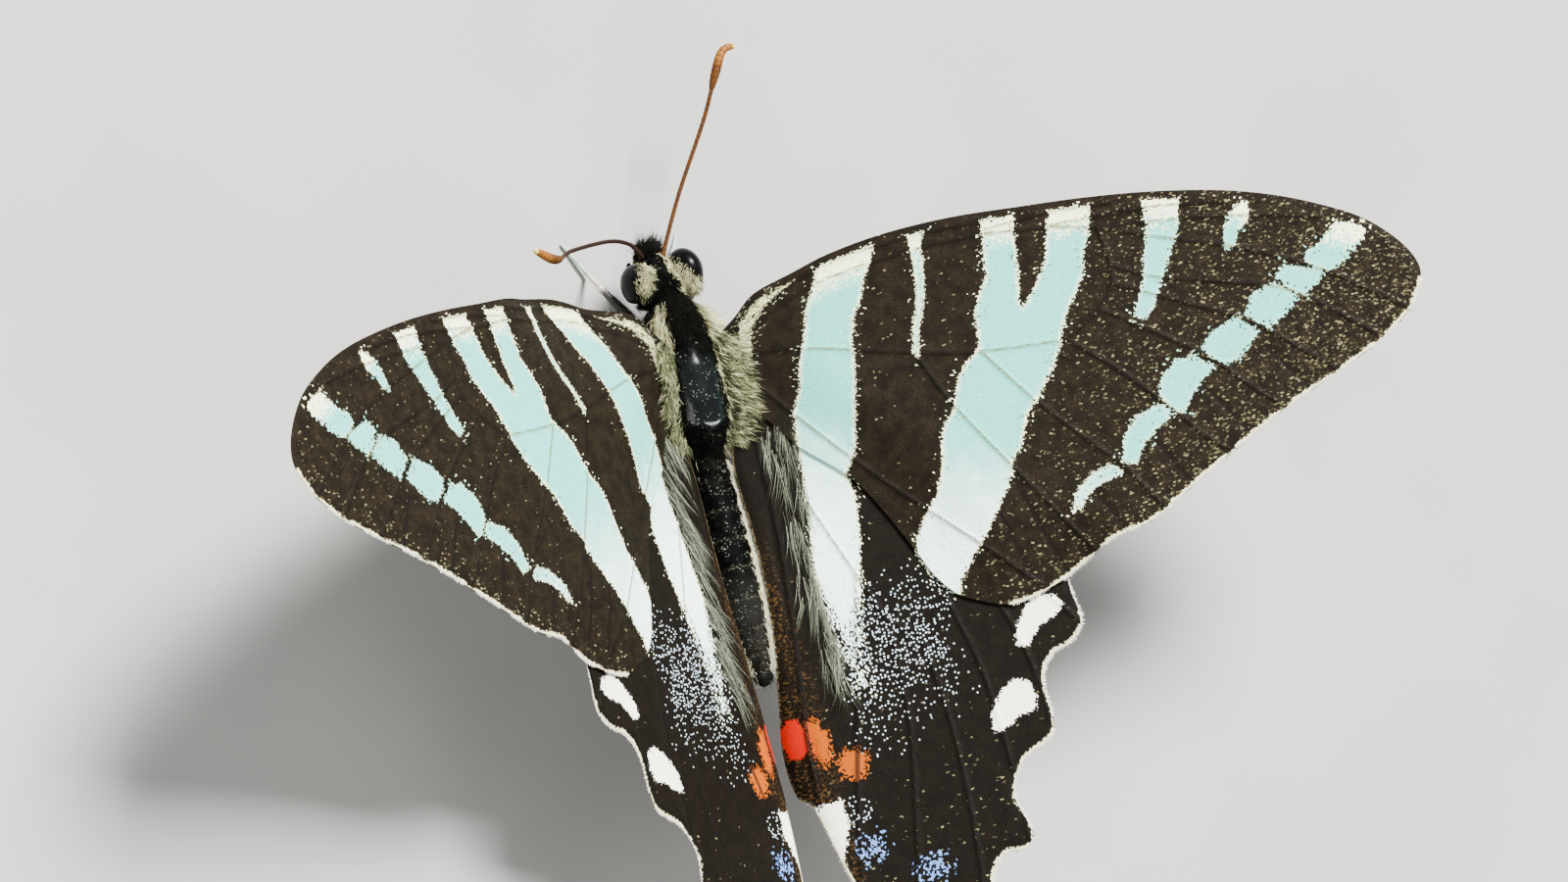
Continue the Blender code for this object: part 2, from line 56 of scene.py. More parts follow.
class Wire:                    # a value in a material's nodes, with maths on it
    def __init__(self, tree, socket=None):
        self.tree, self.socket = tree, socket

    def node(self, kind, settings, inputs, output=0):
        made = self.tree.nodes.new(kind)
        for key, value in settings.items():
            setattr(made, key, value)
        for key, value in inputs.items():
            if isinstance(value, Wire):
                self.tree.links.new(value.socket, made.inputs[key])
            else:
                made.inputs[key].default_value = value
        return Wire(self.tree, made.outputs[output])

    def maths(self, operation, first, second=0.0):
        return self.node("ShaderNodeMath", {"operation": operation}, {0: first, 1: second})

    def __add__(self, other):
        return self.maths("ADD", self, other)

    def __sub__(self, other):
        return self.maths("SUBTRACT", self, other)

    def __rsub__(self, other):
        return self.maths("SUBTRACT", other, self)

    def __mul__(self, other):
        return self.maths("MULTIPLY", self, other)

    def __truediv__(self, other):
        return self.maths("DIVIDE", self, other)

    def __lt__(self, other):
        return self.maths("LESS_THAN", self, other)

    def __gt__(self, other):
        return self.maths("GREATER_THAN", self, other)

    __radd__, __rmul__ = __add__, __mul__

    def rise(self, low, high):     # 0 below low, 1 above high, smooth between
        settings = {"interpolation_type": "SMOOTHSTEP"}
        return self.node("ShaderNodeMapRange", settings, {0: self, 1: low, 2: high, 3: 0.0, 4: 1.0})

    def larger(self, other):
        return self.maths("MAXIMUM", self, other)

    def smaller(self, other):
        return self.maths("MINIMUM", self, other)

    def mix(self, first, second):  # this value says how much of the second colour shows
        return self.node("ShaderNodeMix", {"data_type": "RGBA"}, {0: self, 6: first, 7: second}, 2)

    def part(self, index):         # one channel of a colour
        return self.node("ShaderNodeSeparateColor", {}, {0: self}, index)

    def attributes(self, *names):
        return [self.node("ShaderNodeAttribute", {"attribute_name": name}, {}, 2) for name in names]

    def objectPlace(self):
        return self.node("ShaderNodeTexCoord", {}, {}, 3)

    def noise(self, place, scale, detail=2.0):
        return self.node("ShaderNodeTexNoise", {}, {"Vector": place, "Scale": scale, "Detail": detail})

    def cells(self, place, scale, output, space="2D"):     # 0 gives the distance, 1 a colour by chance
        return self.node("ShaderNodeTexVoronoi", {"voronoi_dimensions": space},
                         {"Vector": place, "Scale": scale}, output)

    def join(self, x, y):
        return self.node("ShaderNodeCombineXYZ", {}, {0: x, 1: y, 2: 0.0})


def layered(colour, *layers):  # each layer is how much of it shows, and its colour
    for amount, top in layers:
        colour = amount.mix(colour, top)
    return colour


def newMaterial(name, roughness, **fixed):
    material = bpy.data.materials.new(name)
    material.use_nodes = True
    shader = material.node_tree.nodes["Principled BSDF"]
    shader.inputs["Roughness"].default_value = roughness
    for key, value in fixed.items():
        shader.inputs[key.replace("_", " ")].default_value = value
    return material, Wire(material.node_tree), shader


def feed(shader, **sockets):   # links each value to the shader's socket of that name
    for name, wire in sockets.items():
        wire.tree.links.new(wire.socket, shader.inputs[name.replace("_", " ")])


def addBump(wires, shader, height, depth, strength):
    relief = {"Strength": strength, "Distance": depth, "Height": height}
    feed(shader, Normal=wires.node("ShaderNodeBump", {}, relief))


# geometry helpers
def smoothLine(points, steps=6):   # points along a smooth curve through the given ones
    corners = [Vector(point) for point in points]
    corners = [2 * corners[0] - corners[1]] + corners + [2 * corners[-1] - corners[-2]]
    line = []
    for before, start, end, after in zip(corners, corners[1:], corners[2:], corners[3:]):
        for step in range(steps):
            t = step / steps
            bow = (2 * before - 5 * start + 4 * end - after) * t ** 2
            twist = (3 * start - before - 3 * end + after) * t ** 3
            line.append(0.5 * (2 * start + (end - before) * t + bow + twist))
    return np.array([tuple(point) for point in line + [corners[-2]]])


def joinedLines(lines, steps):
    return np.vstack([smoothLine(line, steps) for line in lines])


def lengthsAlong(line):        # how far along the line each of its points is
    return np.concatenate([[0], np.cumsum(np.linalg.norm(np.diff(line, axis=0), axis=1))])


def spotsAlong(line, marks):   # the places at these lengths along a line
    reach = lengthsAlong(line)
    return np.stack([np.interp(marks, reach, axis) for axis in line.T], axis=1)


def closed(outline):
    return np.vstack([outline, outline[:1]])


def nearLine(points, line):    # distance to a line of points, and the nearest place on it
    distance = np.full(len(points), 1e9)
    place = np.zeros_like(points)
    for start, end in zip(line, line[1:]):
        run = end - start
        share = np.clip(((points - start) @ run) / max(run @ run, 1e-12), 0, 1)
        spot = start + share[:, None] * run
        away = np.linalg.norm(points - spot, axis=1)
        place[away < distance] = spot[away < distance]
        distance = np.minimum(distance, away)
    return distance, place


def nearLines(points, lines):  # distance to the nearest of several lines
    found = np.full(len(points), far)
    for line in lines:
        found = np.minimum(found, nearLine(points, np.array(line))[0])
    return found


def insideOf(points, outline):
    inside = np.zeros(len(points), bool)
    for (x0, y0), (x1, y1) in zip(outline, np.roll(outline, -1, axis=0)):
        if y0 != y1:
            crosses = (y0 > points[:, 1]) != (y1 > points[:, 1])
            inside ^= crosses & (points[:, 0] < x0 + (points[:, 1] - y0) * (x1 - x0) / (y1 - y0))
    return inside


def signedDistance(points, outline):   # above 0 inside the outline
    distance, _ = nearLine(points, closed(outline))
    return np.where(insideOf(points, outline), distance, -distance)


def ease(value, low, high):
    t = np.clip((value - low) / (high - low), 0, 1)
    return t * t * (3 - 2 * t)


def unit(vectors, least=0.0):  # each row at length 1
    return vectors / np.maximum(np.linalg.norm(vectors, axis=1), least)[:, None]


def selectOnly(piece):
    bpy.ops.object.select_all(action="DESELECT")
    piece.select_set(True)
    bpy.context.view_layer.objects.active = piece


def setMode(mode):
    bpy.ops.object.mode_set(mode=mode)


def clearFaces():              # leaves the active piece with no face selected
    setMode("EDIT")
    bpy.ops.mesh.select_all(action="DESELECT")
    bpy.ops.mesh.select_mode(type="FACE")
    setMode("OBJECT")


def applyModifier(piece, kind, **settings):
    modifier = piece.modifiers.new(kind.lower(), kind)
    for key, value in settings.items():
        setattr(modifier, key, value)
    bpy.ops.object.modifier_apply(modifier=modifier.name)


def places(piece):
    found = np.zeros(len(piece.data.vertices) * 3)
    piece.data.vertices.foreach_get("co", found)
    return found.reshape(-1, 3)


def setPlaces(piece, found):
    piece.data.vertices.foreach_set("co", np.asarray(found, float).ravel())
    piece.data.update()


def setAttributes(piece, marks):
    for name, values in marks.items():
        slot = piece.data.attributes.new(name, "FLOAT", "POINT")
        slot.data.foreach_set("value", np.full(len(piece.data.vertices), values, np.float32))


def finishPiece(piece, name, material, replaced=(), angle=None):
    selectOnly(piece)
    if angle:
        bpy.ops.object.shade_smooth_by_angle(angle=angle)
    else:
        bpy.ops.object.shade_smooth()
    piece.name = piece.data.name = name
    piece.data.materials.clear()
    piece.data.materials.append(material)
    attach(piece, "root")
    if replaced:
        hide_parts(*replaced)


# camera, floor and light
viewing = {
    "place": (0.3139, 0.0916, 0.5644), "lens": 250.1, "clip": (0.02, 20),
    "right": (-0.8594, 0.2586, 0.4409), "up": (-0.1495, -0.9522, 0.2663), "back": (0.4888, 0.1629, 0.8571),
}
studio = {
    "floor": 3.0, "floorTones": (tone(142, 141, 138), tone(148, 147, 143)), "floorGrain": 60.0,
    "world": (0.94, 0.97, 1.0, 1), "worldPower": 0.6,
    "lights": {                # place, size, power
        "key": ((-0.2, -0.45, 0.9), 0.3, 66.0),
        "fill": ((0.75, 0.35, 0.55), 0.7, 8.0),
        "rim": ((-0.5, 0.7, 0.45), 0.4, 6.0),
    },
}


def makeFloor():
    bpy.ops.object.select_all(action="DESELECT")
    bpy.ops.mesh.primitive_plane_add(size=studio["floor"])
    floor = bpy.context.object
    floor.name = "floor"
    material, wires, shader = newMaterial("paleFloor", 0.85)
    grain = wires.noise(wires.objectPlace(), studio["floorGrain"]).rise(0.3, 0.7)
    feed(shader, Base_Color=grain.mix(*studio["floorTones"]))
    floor.data.materials.append(material)


def makeStudio():
    camera = bpy.data.objects.new("camera", bpy.data.cameras.new("camera"))
    bpy.context.scene.collection.objects.link(camera)
    axes = Matrix([viewing["right"], viewing["up"], viewing["back"]]).transposed()
    camera.matrix_world = Matrix.Translation(viewing["place"]) @ axes.to_4x4()
    camera.data.lens = viewing["lens"]
    camera.data.clip_start, camera.data.clip_end = viewing["clip"]
    bpy.context.scene.camera = camera
    makeFloor()

    world = bpy.data.worlds.new("studio")
    world.use_nodes = True
    world.node_tree.nodes["Background"].inputs[0].default_value = studio["world"]
    world.node_tree.nodes["Background"].inputs[1].default_value = studio["worldPower"]
    bpy.context.scene.world = world
    for name, (place, size, power) in studio["lights"].items():
        lamp = bpy.data.objects.new(name, bpy.data.lights.new(name, "AREA"))
        lamp.data.size, lamp.data.energy = size, power
        lamp.location = place
        lamp.rotation_euler = Vector(place).to_track_quat("Z", "Y").to_euler()
        bpy.context.scene.collection.objects.link(lamp)
    print("studio ready")


# wings: everything is drawn in the wing's plane, mm out from the hinge and mm back along the body
wing = {
    "raise": math.radians(30), "step": 0.17, "half": 0.09, "smooth": math.radians(50),
    "vein": 0.075, "veinWidth": 0.2, "fold": 0.05, "foldWidth": 0.35,
    "rim": 0.5, "rimThinning": 0.55,
    "bend": {"tipFrom": 10, "tip": 0.0008, "tailFrom": 32, "tail": 0.0012, "flapFrom": -0.46, "flap": 0.157},
    "lowered": 1.5, "drawnIn": 0.5,
    "press": 0.74,             # how far the forewing's hind edge bends down onto the hindwing
    "lift": 0.25,              # how far the hindwing is held up towards it
    "fan": 1.5, "rows": 20,    # the rows of scales fan out from a point this far off the hinge
    "stripeEnd": 10.4,         # the stripes end here on the hindwing
    "dusted": {"left": 0.15, "right": 0.8},            # how many golden scales show; the right wing's larger share is painted glint, where light catches its scales
}
hinges = {"forewing": (2.0, 0.15, 0.45), "hindwing": (2.6, -0.05, -0.654)}
tailCut = 37.5
foreOutline = [
    (-1.0, -2.2), (1.0, -3.5), (2.5, -4.6), (5.0, -5.2), (7.5, -5.75), (11.0, -6.05),
    (15.0, -5.95), (19.0, -5.5), (23.0, -5.0), (27.0, -4.3), (31.0, -3.3), (34.0, -2.2),
    (36.5, -0.95), (38.7, 0.45), (40.3, 2.1), (41.2, 3.7), (41.2, 5.0), (40.1, 6.5),
    (38.0, 7.9), (35.0, 9.1), (32.0, 10.2), (29.0, 11.5), (26.0, 12.9), (23.0, 14.4),
    (21.5, 15.0), (19.5, 15.3), (17.8, 16.0), (16.0, 16.8), (14.0, 17.35), (12.5, 17.5),
    (11.0, 16.9), (9.6, 16.05), (8.6, 14.7), (7.6, 12.3), (6.5, 9.8), (5.2, 7.5),
    (2.7, 4.9), (1.2, 2.7), (-0.8, 1.0),
]
hindOuter = [
    (-0.6, 1.8), (2.0, 0.9), (4.5, 1.7), (8.0, 4.6), (12.0, 9.2), (15.0, 13.4), (16.0, 16.0),
    (16.15, 18.0), (16.3, 19.2), (16.1, 20.1), (15.2, 20.8), (14.2, 21.1), (13.4, 21.9),
    (13.05, 23.0), (13.1, 24.6), (12.8, 25.8), (11.9, 26.3), (10.8, 26.8), (9.9, 27.9),
    (9.7, 29.1), (10.0, 30.3), (10.1, 31.4), (9.4, 32.0), (8.4, 31.9), (7.5, 32.6),
    (7.0, 33.8), (6.9, 35.3), (7.0, tailCut),
]
tailOutline = [
    (6.95, 41.0), (7.15, 45.0), (7.7, 49.0), (8.5, 53.0), (9.1, 55.7), (9.0, 57.2), (8.2, 57.9),
    (7.3, 57.0), (6.5, 54.2), (5.6, 50.0), (5.0, 45.5), (4.8, 41.0), (4.9, tailCut),
]
hindInner = [
    (4.6, 36.4), (3.9, 35.5), (3.0, 35.1), (2.3, 35.0), (1.8, 34.3), (1.4, 33.3), (0.8, 32.6),
    (0.0, 32.3), (-0.6, 32.0), (-0.9, 31.2), (-1.2, 30.0), (-1.8, 27.0), (-2.1, 26.1),
    (-2.8, 25.4), (-3.0, 24.0), (-2.95, 22.3), (-2.6, 20.5), (-1.75, 16.0), (-1.35, 12.5),
    (-1.3, 9.0), (-1.4, 6.0), (-1.15, 4.2), (-0.5, 3.0),
]
foreVeins = [
    [(0.9, -2.7), (6.0, -4.95), (12.0, -5.45), (17.5, -5.2)],
    [(0.9, -2.1), (5.5, -4.0), (10.0, -4.55), (15.0, -4.55), (20.0, -3.9), (23.4, -3.0)],
    [(15.0, -4.55), (20.0, -4.7), (24.5, -4.3)],
    [(20.0, -3.9), (26.0, -3.5), (31.0, -2.6)],
    [(23.4, -3.0), (28.5, -2.2), (33.0, -1.2), (36.4, -0.2)],
    [(23.4, -3.0), (27.0, -1.4), (31.0, 0.3), (35.3, 2.7), (38.2, 5.0), (39.8, 6.3)],
    [(23.5, -0.6), (26.0, 0.8), (30.0, 2.2), (33.4, 3.6), (36.5, 6.3), (37.8, 7.6)],
    [(23.3, 0.5), (27.0, 2.6), (30.7, 4.9), (33.4, 7.5), (34.8, 8.9)],
    [(22.2, 1.8), (25.0, 4.0), (27.8, 6.4), (30.0, 9.0), (31.2, 10.2)],
    [(19.9, 3.1), (22.2, 5.5), (24.7, 8.6), (26.4, 11.0), (27.4, 12.0)],
    [(23.4, -3.0), (23.5, -0.6), (22.9, 1.2), (19.9, 3.1)],
    [(0.9, -1.2), (4.5, -0.6), (10.8, 1.4), (14.7, 2.4), (19.9, 3.1)],
    [(14.7, 2.4), (17.0, 6.0), (19.5, 9.3), (21.1, 11.3), (22.7, 14.2)],
    [(10.8, 1.4), (12.3, 5.1), (14.6, 9.4), (16.6, 13.0), (18.1, 15.6)],
    [(0.8, 0.0), (3.4, 3.6), (7.0, 8.2), (11.0, 12.8), (14.6, 16.9)],
]
hindVeins = [
    [(1.2, 2.2), (6.0, 4.2), (11.0, 9.2), (14.6, 13.8), (15.8, 17.0)],
    [(1.2, 2.8), (5.0, 5.6), (8.5, 9.6), (12.0, 14.0), (15.0, 18.0), (16.0, 19.5)],
    [(10.0, 13.0), (12.0, 18.0), (12.8, 22.0), (12.9, 25.2)],
    [(8.8, 16.0), (9.8, 21.0), (10.0, 27.0), (9.9, 31.4)],
    [(6.8, 17.6), (7.2, 24.0), (6.8, 31.0), (5.95, 37.5), (5.95, 43.0), (6.6, 50.0), (7.9, 56.6)],
    [(8.5, 9.6), (10.0, 13.0), (8.8, 16.0), (6.8, 17.6), (5.2, 16.8)],
    [(0.8, 3.0), (1.9, 7.0), (3.2, 11.0), (5.2, 16.8)],
    [(5.2, 16.8), (4.8, 23.0), (3.6, 29.0), (2.5, 34.4)],
    [(4.0, 13.4), (2.4, 20.0), (0.8, 26.0), (-0.4, 31.4)],
    [(0.4, 3.6), (0.2, 10.0), (-0.6, 17.0), (-1.3, 22.0), (-1.6, 25.6)],
]
slit = [(0.1, 7.0), (-0.25, 10.6), (-0.38, 13.3), (-0.46, 15.4), (-0.6, 17.5), (-1.0, 20.5), (-1.2, 24.0)]
folds = [                      # creases that run in from the forewing's outer margin
    [(23.3, 10.2), (24.7, 13.3)], [(27.2, 8.2), (28.8, 11.2)], [(18.9, 12.0), (20.3, 15.0)],
    [(13.2, 12.0), (14.2, 16.3)], [(14.8, 11.3), (16.2, 16.4)], [(31.2, 6.6), (33.0, 9.6)],
]
underLine = [(10.8, 3.5), (9.8, 9.0), (7.8, 14.5), (4.8, 19.5), (1.2, 23.0)]   # red, on the underside
stripes = {                    # pale bands that cross both wings
    "base": [(1.1, -0.7), (1.0, -2.0), (1.3, -3.0), (2.0, -3.65), (3.1, -4.3), (4.1, -4.8), (5.2, -5.0),
             (4.7, -4.6), (3.8, -4.25), (3.0, -3.75), (2.3, -3.15), (1.75, -2.5), (1.5, -1.9), (1.4, -1.0)],
    "second": [(7.0, -5.9), (6.2, -4.2), (5.3, -2.8), (5.0, -1.7), (4.5, -0.6), (4.1, 0.3), (3.7, 1.7),
               (3.0, 2.9), (2.8, 4.4), (2.7, 5.5), (2.6, 7.0), (2.4, 8.5), (2.2, 9.7), (1.9, 11.5),
               (1.7, 13.0), (1.7, 17.0), (1.9, 20.5), (3.4, 20.5), (3.7, 17.0), (3.9, 15.5), (4.2, 14.5),
               (4.4, 13.0), (4.8, 11.5), (5.1, 9.8), (5.2, 8.5), (4.9, 7.4), (5.5, 6.6), (6.0, 5.8),
               (6.3, 4.5), (6.6, 3.5), (6.9, 2.4), (7.2, 1.0), (7.4, -0.2), (7.8, -1.5), (8.5, -2.5),
               (9.0, -3.6), (9.8, -4.8), (10.3, -6.2)],
    "third": [(12.3, -6.3), (12.3, -4.8), (12.15, -3.0), (11.9, -1.8), (11.55, -0.8), (11.1, 0.2),
              (10.85, 1.6), (11.05, 1.7), (11.38, 0.3), (11.85, -0.7), (12.3, -1.8), (12.6, -3.0),
              (12.85, -4.8), (13.5, -6.3)],
    "innerArm": [(17.0, -6.2), (16.6, -4.2), (16.4, -3.0), (16.2, -1.9), (15.6, -1.0), (15.0, 0.0),
                 (14.9, 1.0), (14.7, 2.2), (13.8, 2.8), (13.1, 3.5), (12.6, 4.5), (12.2, 5.5), (11.4, 6.2),
                 (11.1, 7.0), (10.8, 8.2), (10.4, 9.2), (10.0, 10.0), (9.4, 10.6), (8.7, 11.3), (8.0, 12.5),
                 (7.9, 13.3), (8.2, 14.2), (8.6, 15.0), (9.0, 16.2), (9.6, 16.4), (9.9, 15.4), (10.7, 14.5),
                 (11.5, 13.7), (12.4, 12.8), (13.3, 11.7), (14.0, 10.8), (14.6, 10.0), (14.8, 9.2),
                 (15.5, 8.6), (15.9, 7.7), (16.5, 6.6), (17.2, 6.0), (18.0, 5.1), (18.7, 4.3), (19.3, 3.4),
                 (19.5, 2.9), (19.8, 2.2), (20.4, 1.2), (21.1, 0.4), (21.8, -0.5), (22.1, -1.7),
                 (22.8, -3.0), (23.2, -4.3), (23.3, -5.3), (21.0, -5.6), (20.8, -4.6), (20.3, -3.2),
                 (19.9, -1.9), (19.2, -0.9), (18.4, 0.0), (17.8, 0.6), (17.6, 0.2), (18.1, -1.8),
                 (18.4, -4.0), (18.9, -5.8)],
    "fifth": [(26.4, -4.8), (26.3, -2.5), (26.0, -1.5), (25.6, -0.6), (25.3, 0.6), (24.8, 1.6), (24.1, 2.7),
              (24.7, 3.1), (25.4, 2.4), (26.1, 1.3), (26.6, 0.5), (27.5, -1.0), (28.1, -2.0), (28.7, -4.4)],
    "sixth": [(31.3, -1.9), (32.4, -2.3), (32.2, -1.2), (31.4, -0.6), (31.0, 0.2), (30.4, 0.3),
              (30.6, -0.8)],
    "apex": [(34.8, 1.9), (36.0, 1.3), (37.2, 0.4), (38.0, 0.7), (38.8, 1.4), (38.0, 2.1), (36.9, 2.8),
             (36.1, 3.1), (35.3, 2.9)],
    "spotA": [(32.9, 2.7), (33.6, 2.1), (34.6, 2.6), (35.7, 3.1), (35.2, 3.6), (34.3, 4.2), (33.6, 3.8)],
    "spotB": [(30.5, 4.4), (31.3, 3.3), (32.6, 3.0), (33.3, 3.6), (33.8, 4.3), (32.7, 5.0), (31.6, 5.5)],
    "spotC": [(27.5, 5.8), (28.2, 5.0), (30.0, 4.4), (30.5, 5.1), (31.0, 5.6), (30.0, 6.4), (28.8, 7.0),
              (28.2, 6.7)],
    "spotD": [(24.3, 7.8), (24.6, 6.9), (25.8, 6.0), (27.0, 6.1), (27.9, 7.0), (27.0, 7.5), (26.2, 8.2),
              (25.4, 9.1), (24.9, 8.9)],
    "spotE": [(21.1, 11.0), (21.7, 9.6), (22.6, 8.7), (24.1, 8.3), (24.8, 9.0), (23.5, 9.7), (22.6, 10.4),
              (21.9, 11.4)],
    "lunule": [(17.4, 13.3), (17.9, 12.2), (19.2, 11.3), (20.6, 11.1), (20.9, 11.7), (19.8, 11.9),
               (18.9, 12.2), (18.2, 12.9)],
}
hindPale = {
    "outer": [(12.1, 20.2), (12.4, 19.2), (13.1, 18.2), (14.1, 17.4), (15.2, 17.9), (15.5, 18.5),
              (14.8, 19.0), (13.8, 19.3), (12.8, 20.3)],
    "middle": [(9.5, 24.8), (9.7, 23.6), (10.5, 22.6), (11.5, 22.0), (12.3, 22.4), (12.5, 23.4),
               (12.2, 24.2), (11.3, 24.2), (10.2, 24.8)],
    "anal": [(-1.9, 26.4), (-0.3, 26.3), (-0.2, 27.8), (-0.9, 29.5), (-1.3, 30.2)],
}
hindBlue = {
    "inner": [(0.0, 29.6), (0.5, 28.9), (1.3, 28.9), (1.6, 29.7), (1.0, 30.2), (0.3, 30.3)],
    "outer": [(3.0, 31.6), (3.7, 31.0), (4.6, 31.0), (5.0, 31.9), (4.2, 32.3), (3.3, 32.4)],
}
dustPatch = [(-0.2, 26.3), (1.2, 26.4), (1.4, 27.6), (0.2, 28.4)]
hindRed = {
    "spot": [(-2.9, 21.4), (-2.3, 20.8), (-1.7, 20.9), (-1.3, 21.6), (-1.3, 22.8), (-1.9, 23.3),
             (-2.7, 23.1)],
    "inner": [(-1.2, 21.3), (-0.6, 21.2), (-0.1, 22.2), (-0.1, 23.6), (-0.6, 24.2), (-1.2, 23.4)],
    "outer": [(0.2, 24.0), (0.7, 23.5), (1.5, 23.6), (1.9, 24.3), (1.6, 25.1), (0.9, 25.4), (0.2, 25.0)],
}
wingLines = {                  # the pale rim, and the stretches of outline that carry the fringe
    "forewing": {"veins": foreVeins, "creases": folds, "rim": foreOutline[16:30],
                 "fringe": [foreOutline[16:30]]},
    "hindwing": {"veins": hindVeins, "creases": [slit], "rim": hindOuter[8:] + tailOutline + hindInner[:12],
                 "fringe": [hindOuter[6:], tailOutline[:7], tailOutline[6:], hindInner[:14]]},
}


def bandOf(points, shapes):    # the greatest signed distance over several shapes
    found = np.full(len(points), -far)
    for outline in shapes.values():
        found = np.maximum(found, signedDistance(points, np.array(outline)))
    return found


def wingBend(out, back):       # how far the wing's middle surface leaves its plane
    bend = wing["bend"]
    droop = -bend["tip"] * np.maximum(out - bend["tipFrom"], 0) ** 2
    droop = droop - bend["tail"] * np.maximum(back - bend["tailFrom"], 0) ** 2
    return droop - bend["flap"] * np.maximum(bend["flapFrom"] - out, 0) ** 2


def leftFlex(flat):            # the left forewing's front edge: bent down near the body, drawn in further out
    out, front = flat[:, 0], np.clip((1.0 - flat[:, 1]) / 6.5, 0, 1)
    drawnIn = wing["drawnIn"] * front * ease(out, 8, 14) * (1 - ease(out, 30, 39))
    return drawnIn, wing["lowered"] * front * ease(out, 1.5, 6) * (1 - ease(out, 9, 17))


def inFrame(flat, up, hinge, side):    # from a wing's plane to the part's frame, in metres
    x = hinge[0] + flat[:, 0] * math.cos(wing["raise"]) - up * math.sin(wing["raise"])
    z = hinge[2] + flat[:, 0] * math.sin(wing["raise"]) + up * math.cos(wing["raise"])
    return np.stack([side * x, flat[:, 1] + hinge[1] + bodyShift, z + hingeLevel], axis=1) * mm


def onWing(flat, height, kind, side):  # a place so far above a wing's middle, to metres in the part's frame
    up = wingBend(flat[:, 0], flat[:, 1]) + height
    moved = flat.copy()
    if kind == "hindwing":
        up = up + wing["lift"]
    else:
        pressed = nearLine(flat, np.array(foreOutline[27:38]))[0]
        up = up - wing["press"] * ease(5.0 - pressed, 0, 5.0)
        if side > 0:
            drawnIn, lowered = leftFlex(flat)
            moved[:, 1] += drawnIn
            up = up - lowered
    return inFrame(moved, up, hinges[kind], side)


def cutSheet(border):          # a fine grid cut to an outline, with its rim moved onto it
    low, high = border.min(axis=0), border.max(axis=0)
    middle, size = (low + high) / 2, high - low
    across, along = [int(count) for count in np.ceil(size / wing["step"])]
    bpy.ops.object.select_all(action="DESELECT")
    bpy.ops.mesh.primitive_grid_add(x_subdivisions=across, y_subdivisions=along, size=1)
    sheet = bpy.context.object
    sheet.scale, sheet.location = (*size, 1), (*middle, 0)
    bpy.ops.object.transform_apply(location=True, rotation=False, scale=True)

    centres = np.zeros(len(sheet.data.polygons) * 3)
    sheet.data.polygons.foreach_get("center", centres)
    outside = ~insideOf(centres.reshape(-1, 3)[:, :2], border)
    selectOnly(sheet)
    clearFaces()
    sheet.data.polygons.foreach_set("select", outside)
    setMode("EDIT")
    bpy.ops.mesh.delete(type="FACE")
    bpy.ops.mesh.select_all(action="DESELECT")
    bpy.ops.mesh.select_mode(type="EDGE")
    bpy.ops.mesh.select_non_manifold()
    setMode("OBJECT")
    rim = np.zeros(len(sheet.data.vertices), bool)
    sheet.data.vertices.foreach_get("select", rim)
    flat = places(sheet)[:, :2]
    flat[rim] = nearLine(flat[rim], closed(border))[1]
    setPlaces(sheet, np.column_stack([flat, np.zeros(len(flat))]))
    return sheet


def dustOf(out, back, flat):   # where single bluish scales lie on the hindwing
    dusty = ease(out, 0.8, 3.0) * ease(9.8 - out, 0, 3) * ease(back, 13, 17)
    dusty *= ease(26.5 - back - 0.25 * out, 0, 7)
    return np.maximum(dusty, 0.75 * ease(bandOf(flat, {"patch": dustPatch}), -0.3, 0.2))


def wingMarks(flat, face, vein, crease, edge, kind, sideName):     # what the wing's material reads
    out, back = flat[:, 0], flat[:, 1]
    onHind = kind == "hindwing"
    pale = bandOf(flat, stripes)
    return {
        "pale": np.where(out < wing["stripeEnd"], pale, -far) if onHind else pale,
        "fade": ease(back, 12.5, 19) if onHind else 0.0,
        "dusted": wing["dusted"][sideName],
        "hind": float(onHind),
        "gold": 0.0 if onHind else ease(signedDistance(flat, np.array(stripes["base"])), -0.4, 0.1),
        "dust": dustOf(out, back, flat) if onHind else 0.0,
        "lunule": bandOf(flat, hindPale if onHind else {}),
        "blue": bandOf(flat, hindBlue if onHind else {}),
        "red": bandOf(flat, hindRed if onHind else {}),
        "scarlet": nearLine(flat, smoothLine(underLine))[0] if onHind else far,
        "vein": vein, "crease": crease, "edge": edge,
        "costa": far if onHind else nearLine(flat, smoothLine(foreOutline[:15]))[0],
        "rim": nearLine(flat, smoothLine(wingLines[kind]["rim"]))[0],
        "under": face < 0,
        "out": out, "back": back,
        "reach": np.hypot(out + wing["fan"], back + wing["fan"]),
        "turn": np.arctan2(back + wing["fan"], out + wing["fan"]) * wing["rows"],
    }


def makeWing(kind, sideName, material):
    side, border = sides[sideName], wing[kind]
    piece = cutSheet(border)
    applyModifier(piece, "SOLIDIFY", thickness=2 * wing["half"], offset=0)
    found = places(piece)
    flat, face = found[:, :2], np.sign(found[:, 2])
    edge = nearLine(flat, closed(border))[0]
    vein = nearLines(flat, [smoothLine(line) for line in wingLines[kind]["veins"]])
    crease = nearLines(flat, wingLines[kind]["creases"])
    rise = wing["vein"] * ease(wing["veinWidth"] - vein, 0, wing["veinWidth"]) * ease(edge, 0, wing["rim"])
    sink = -wing["fold"] * ease(wing["foldWidth"] - crease, 0, wing["foldWidth"])
    thin = 1 - wing["rimThinning"] * ease(wing["rim"] - edge, 0, wing["rim"])
    setPlaces(piece, onWing(flat, face * (wing["half"] * thin + rise) + sink, kind, side))
    setAttributes(piece, wingMarks(flat, face, vein, crease, edge, kind, sideName))
    if side < 0:
        piece.data.flip_normals()
    nodes = [f"{kind}_{sideName}"] + [f"tail_{sideName}"] * (kind == "hindwing")
    finishPiece(piece, f"{kind}_{sideName}_skin", material, nodes, wing["smooth"])


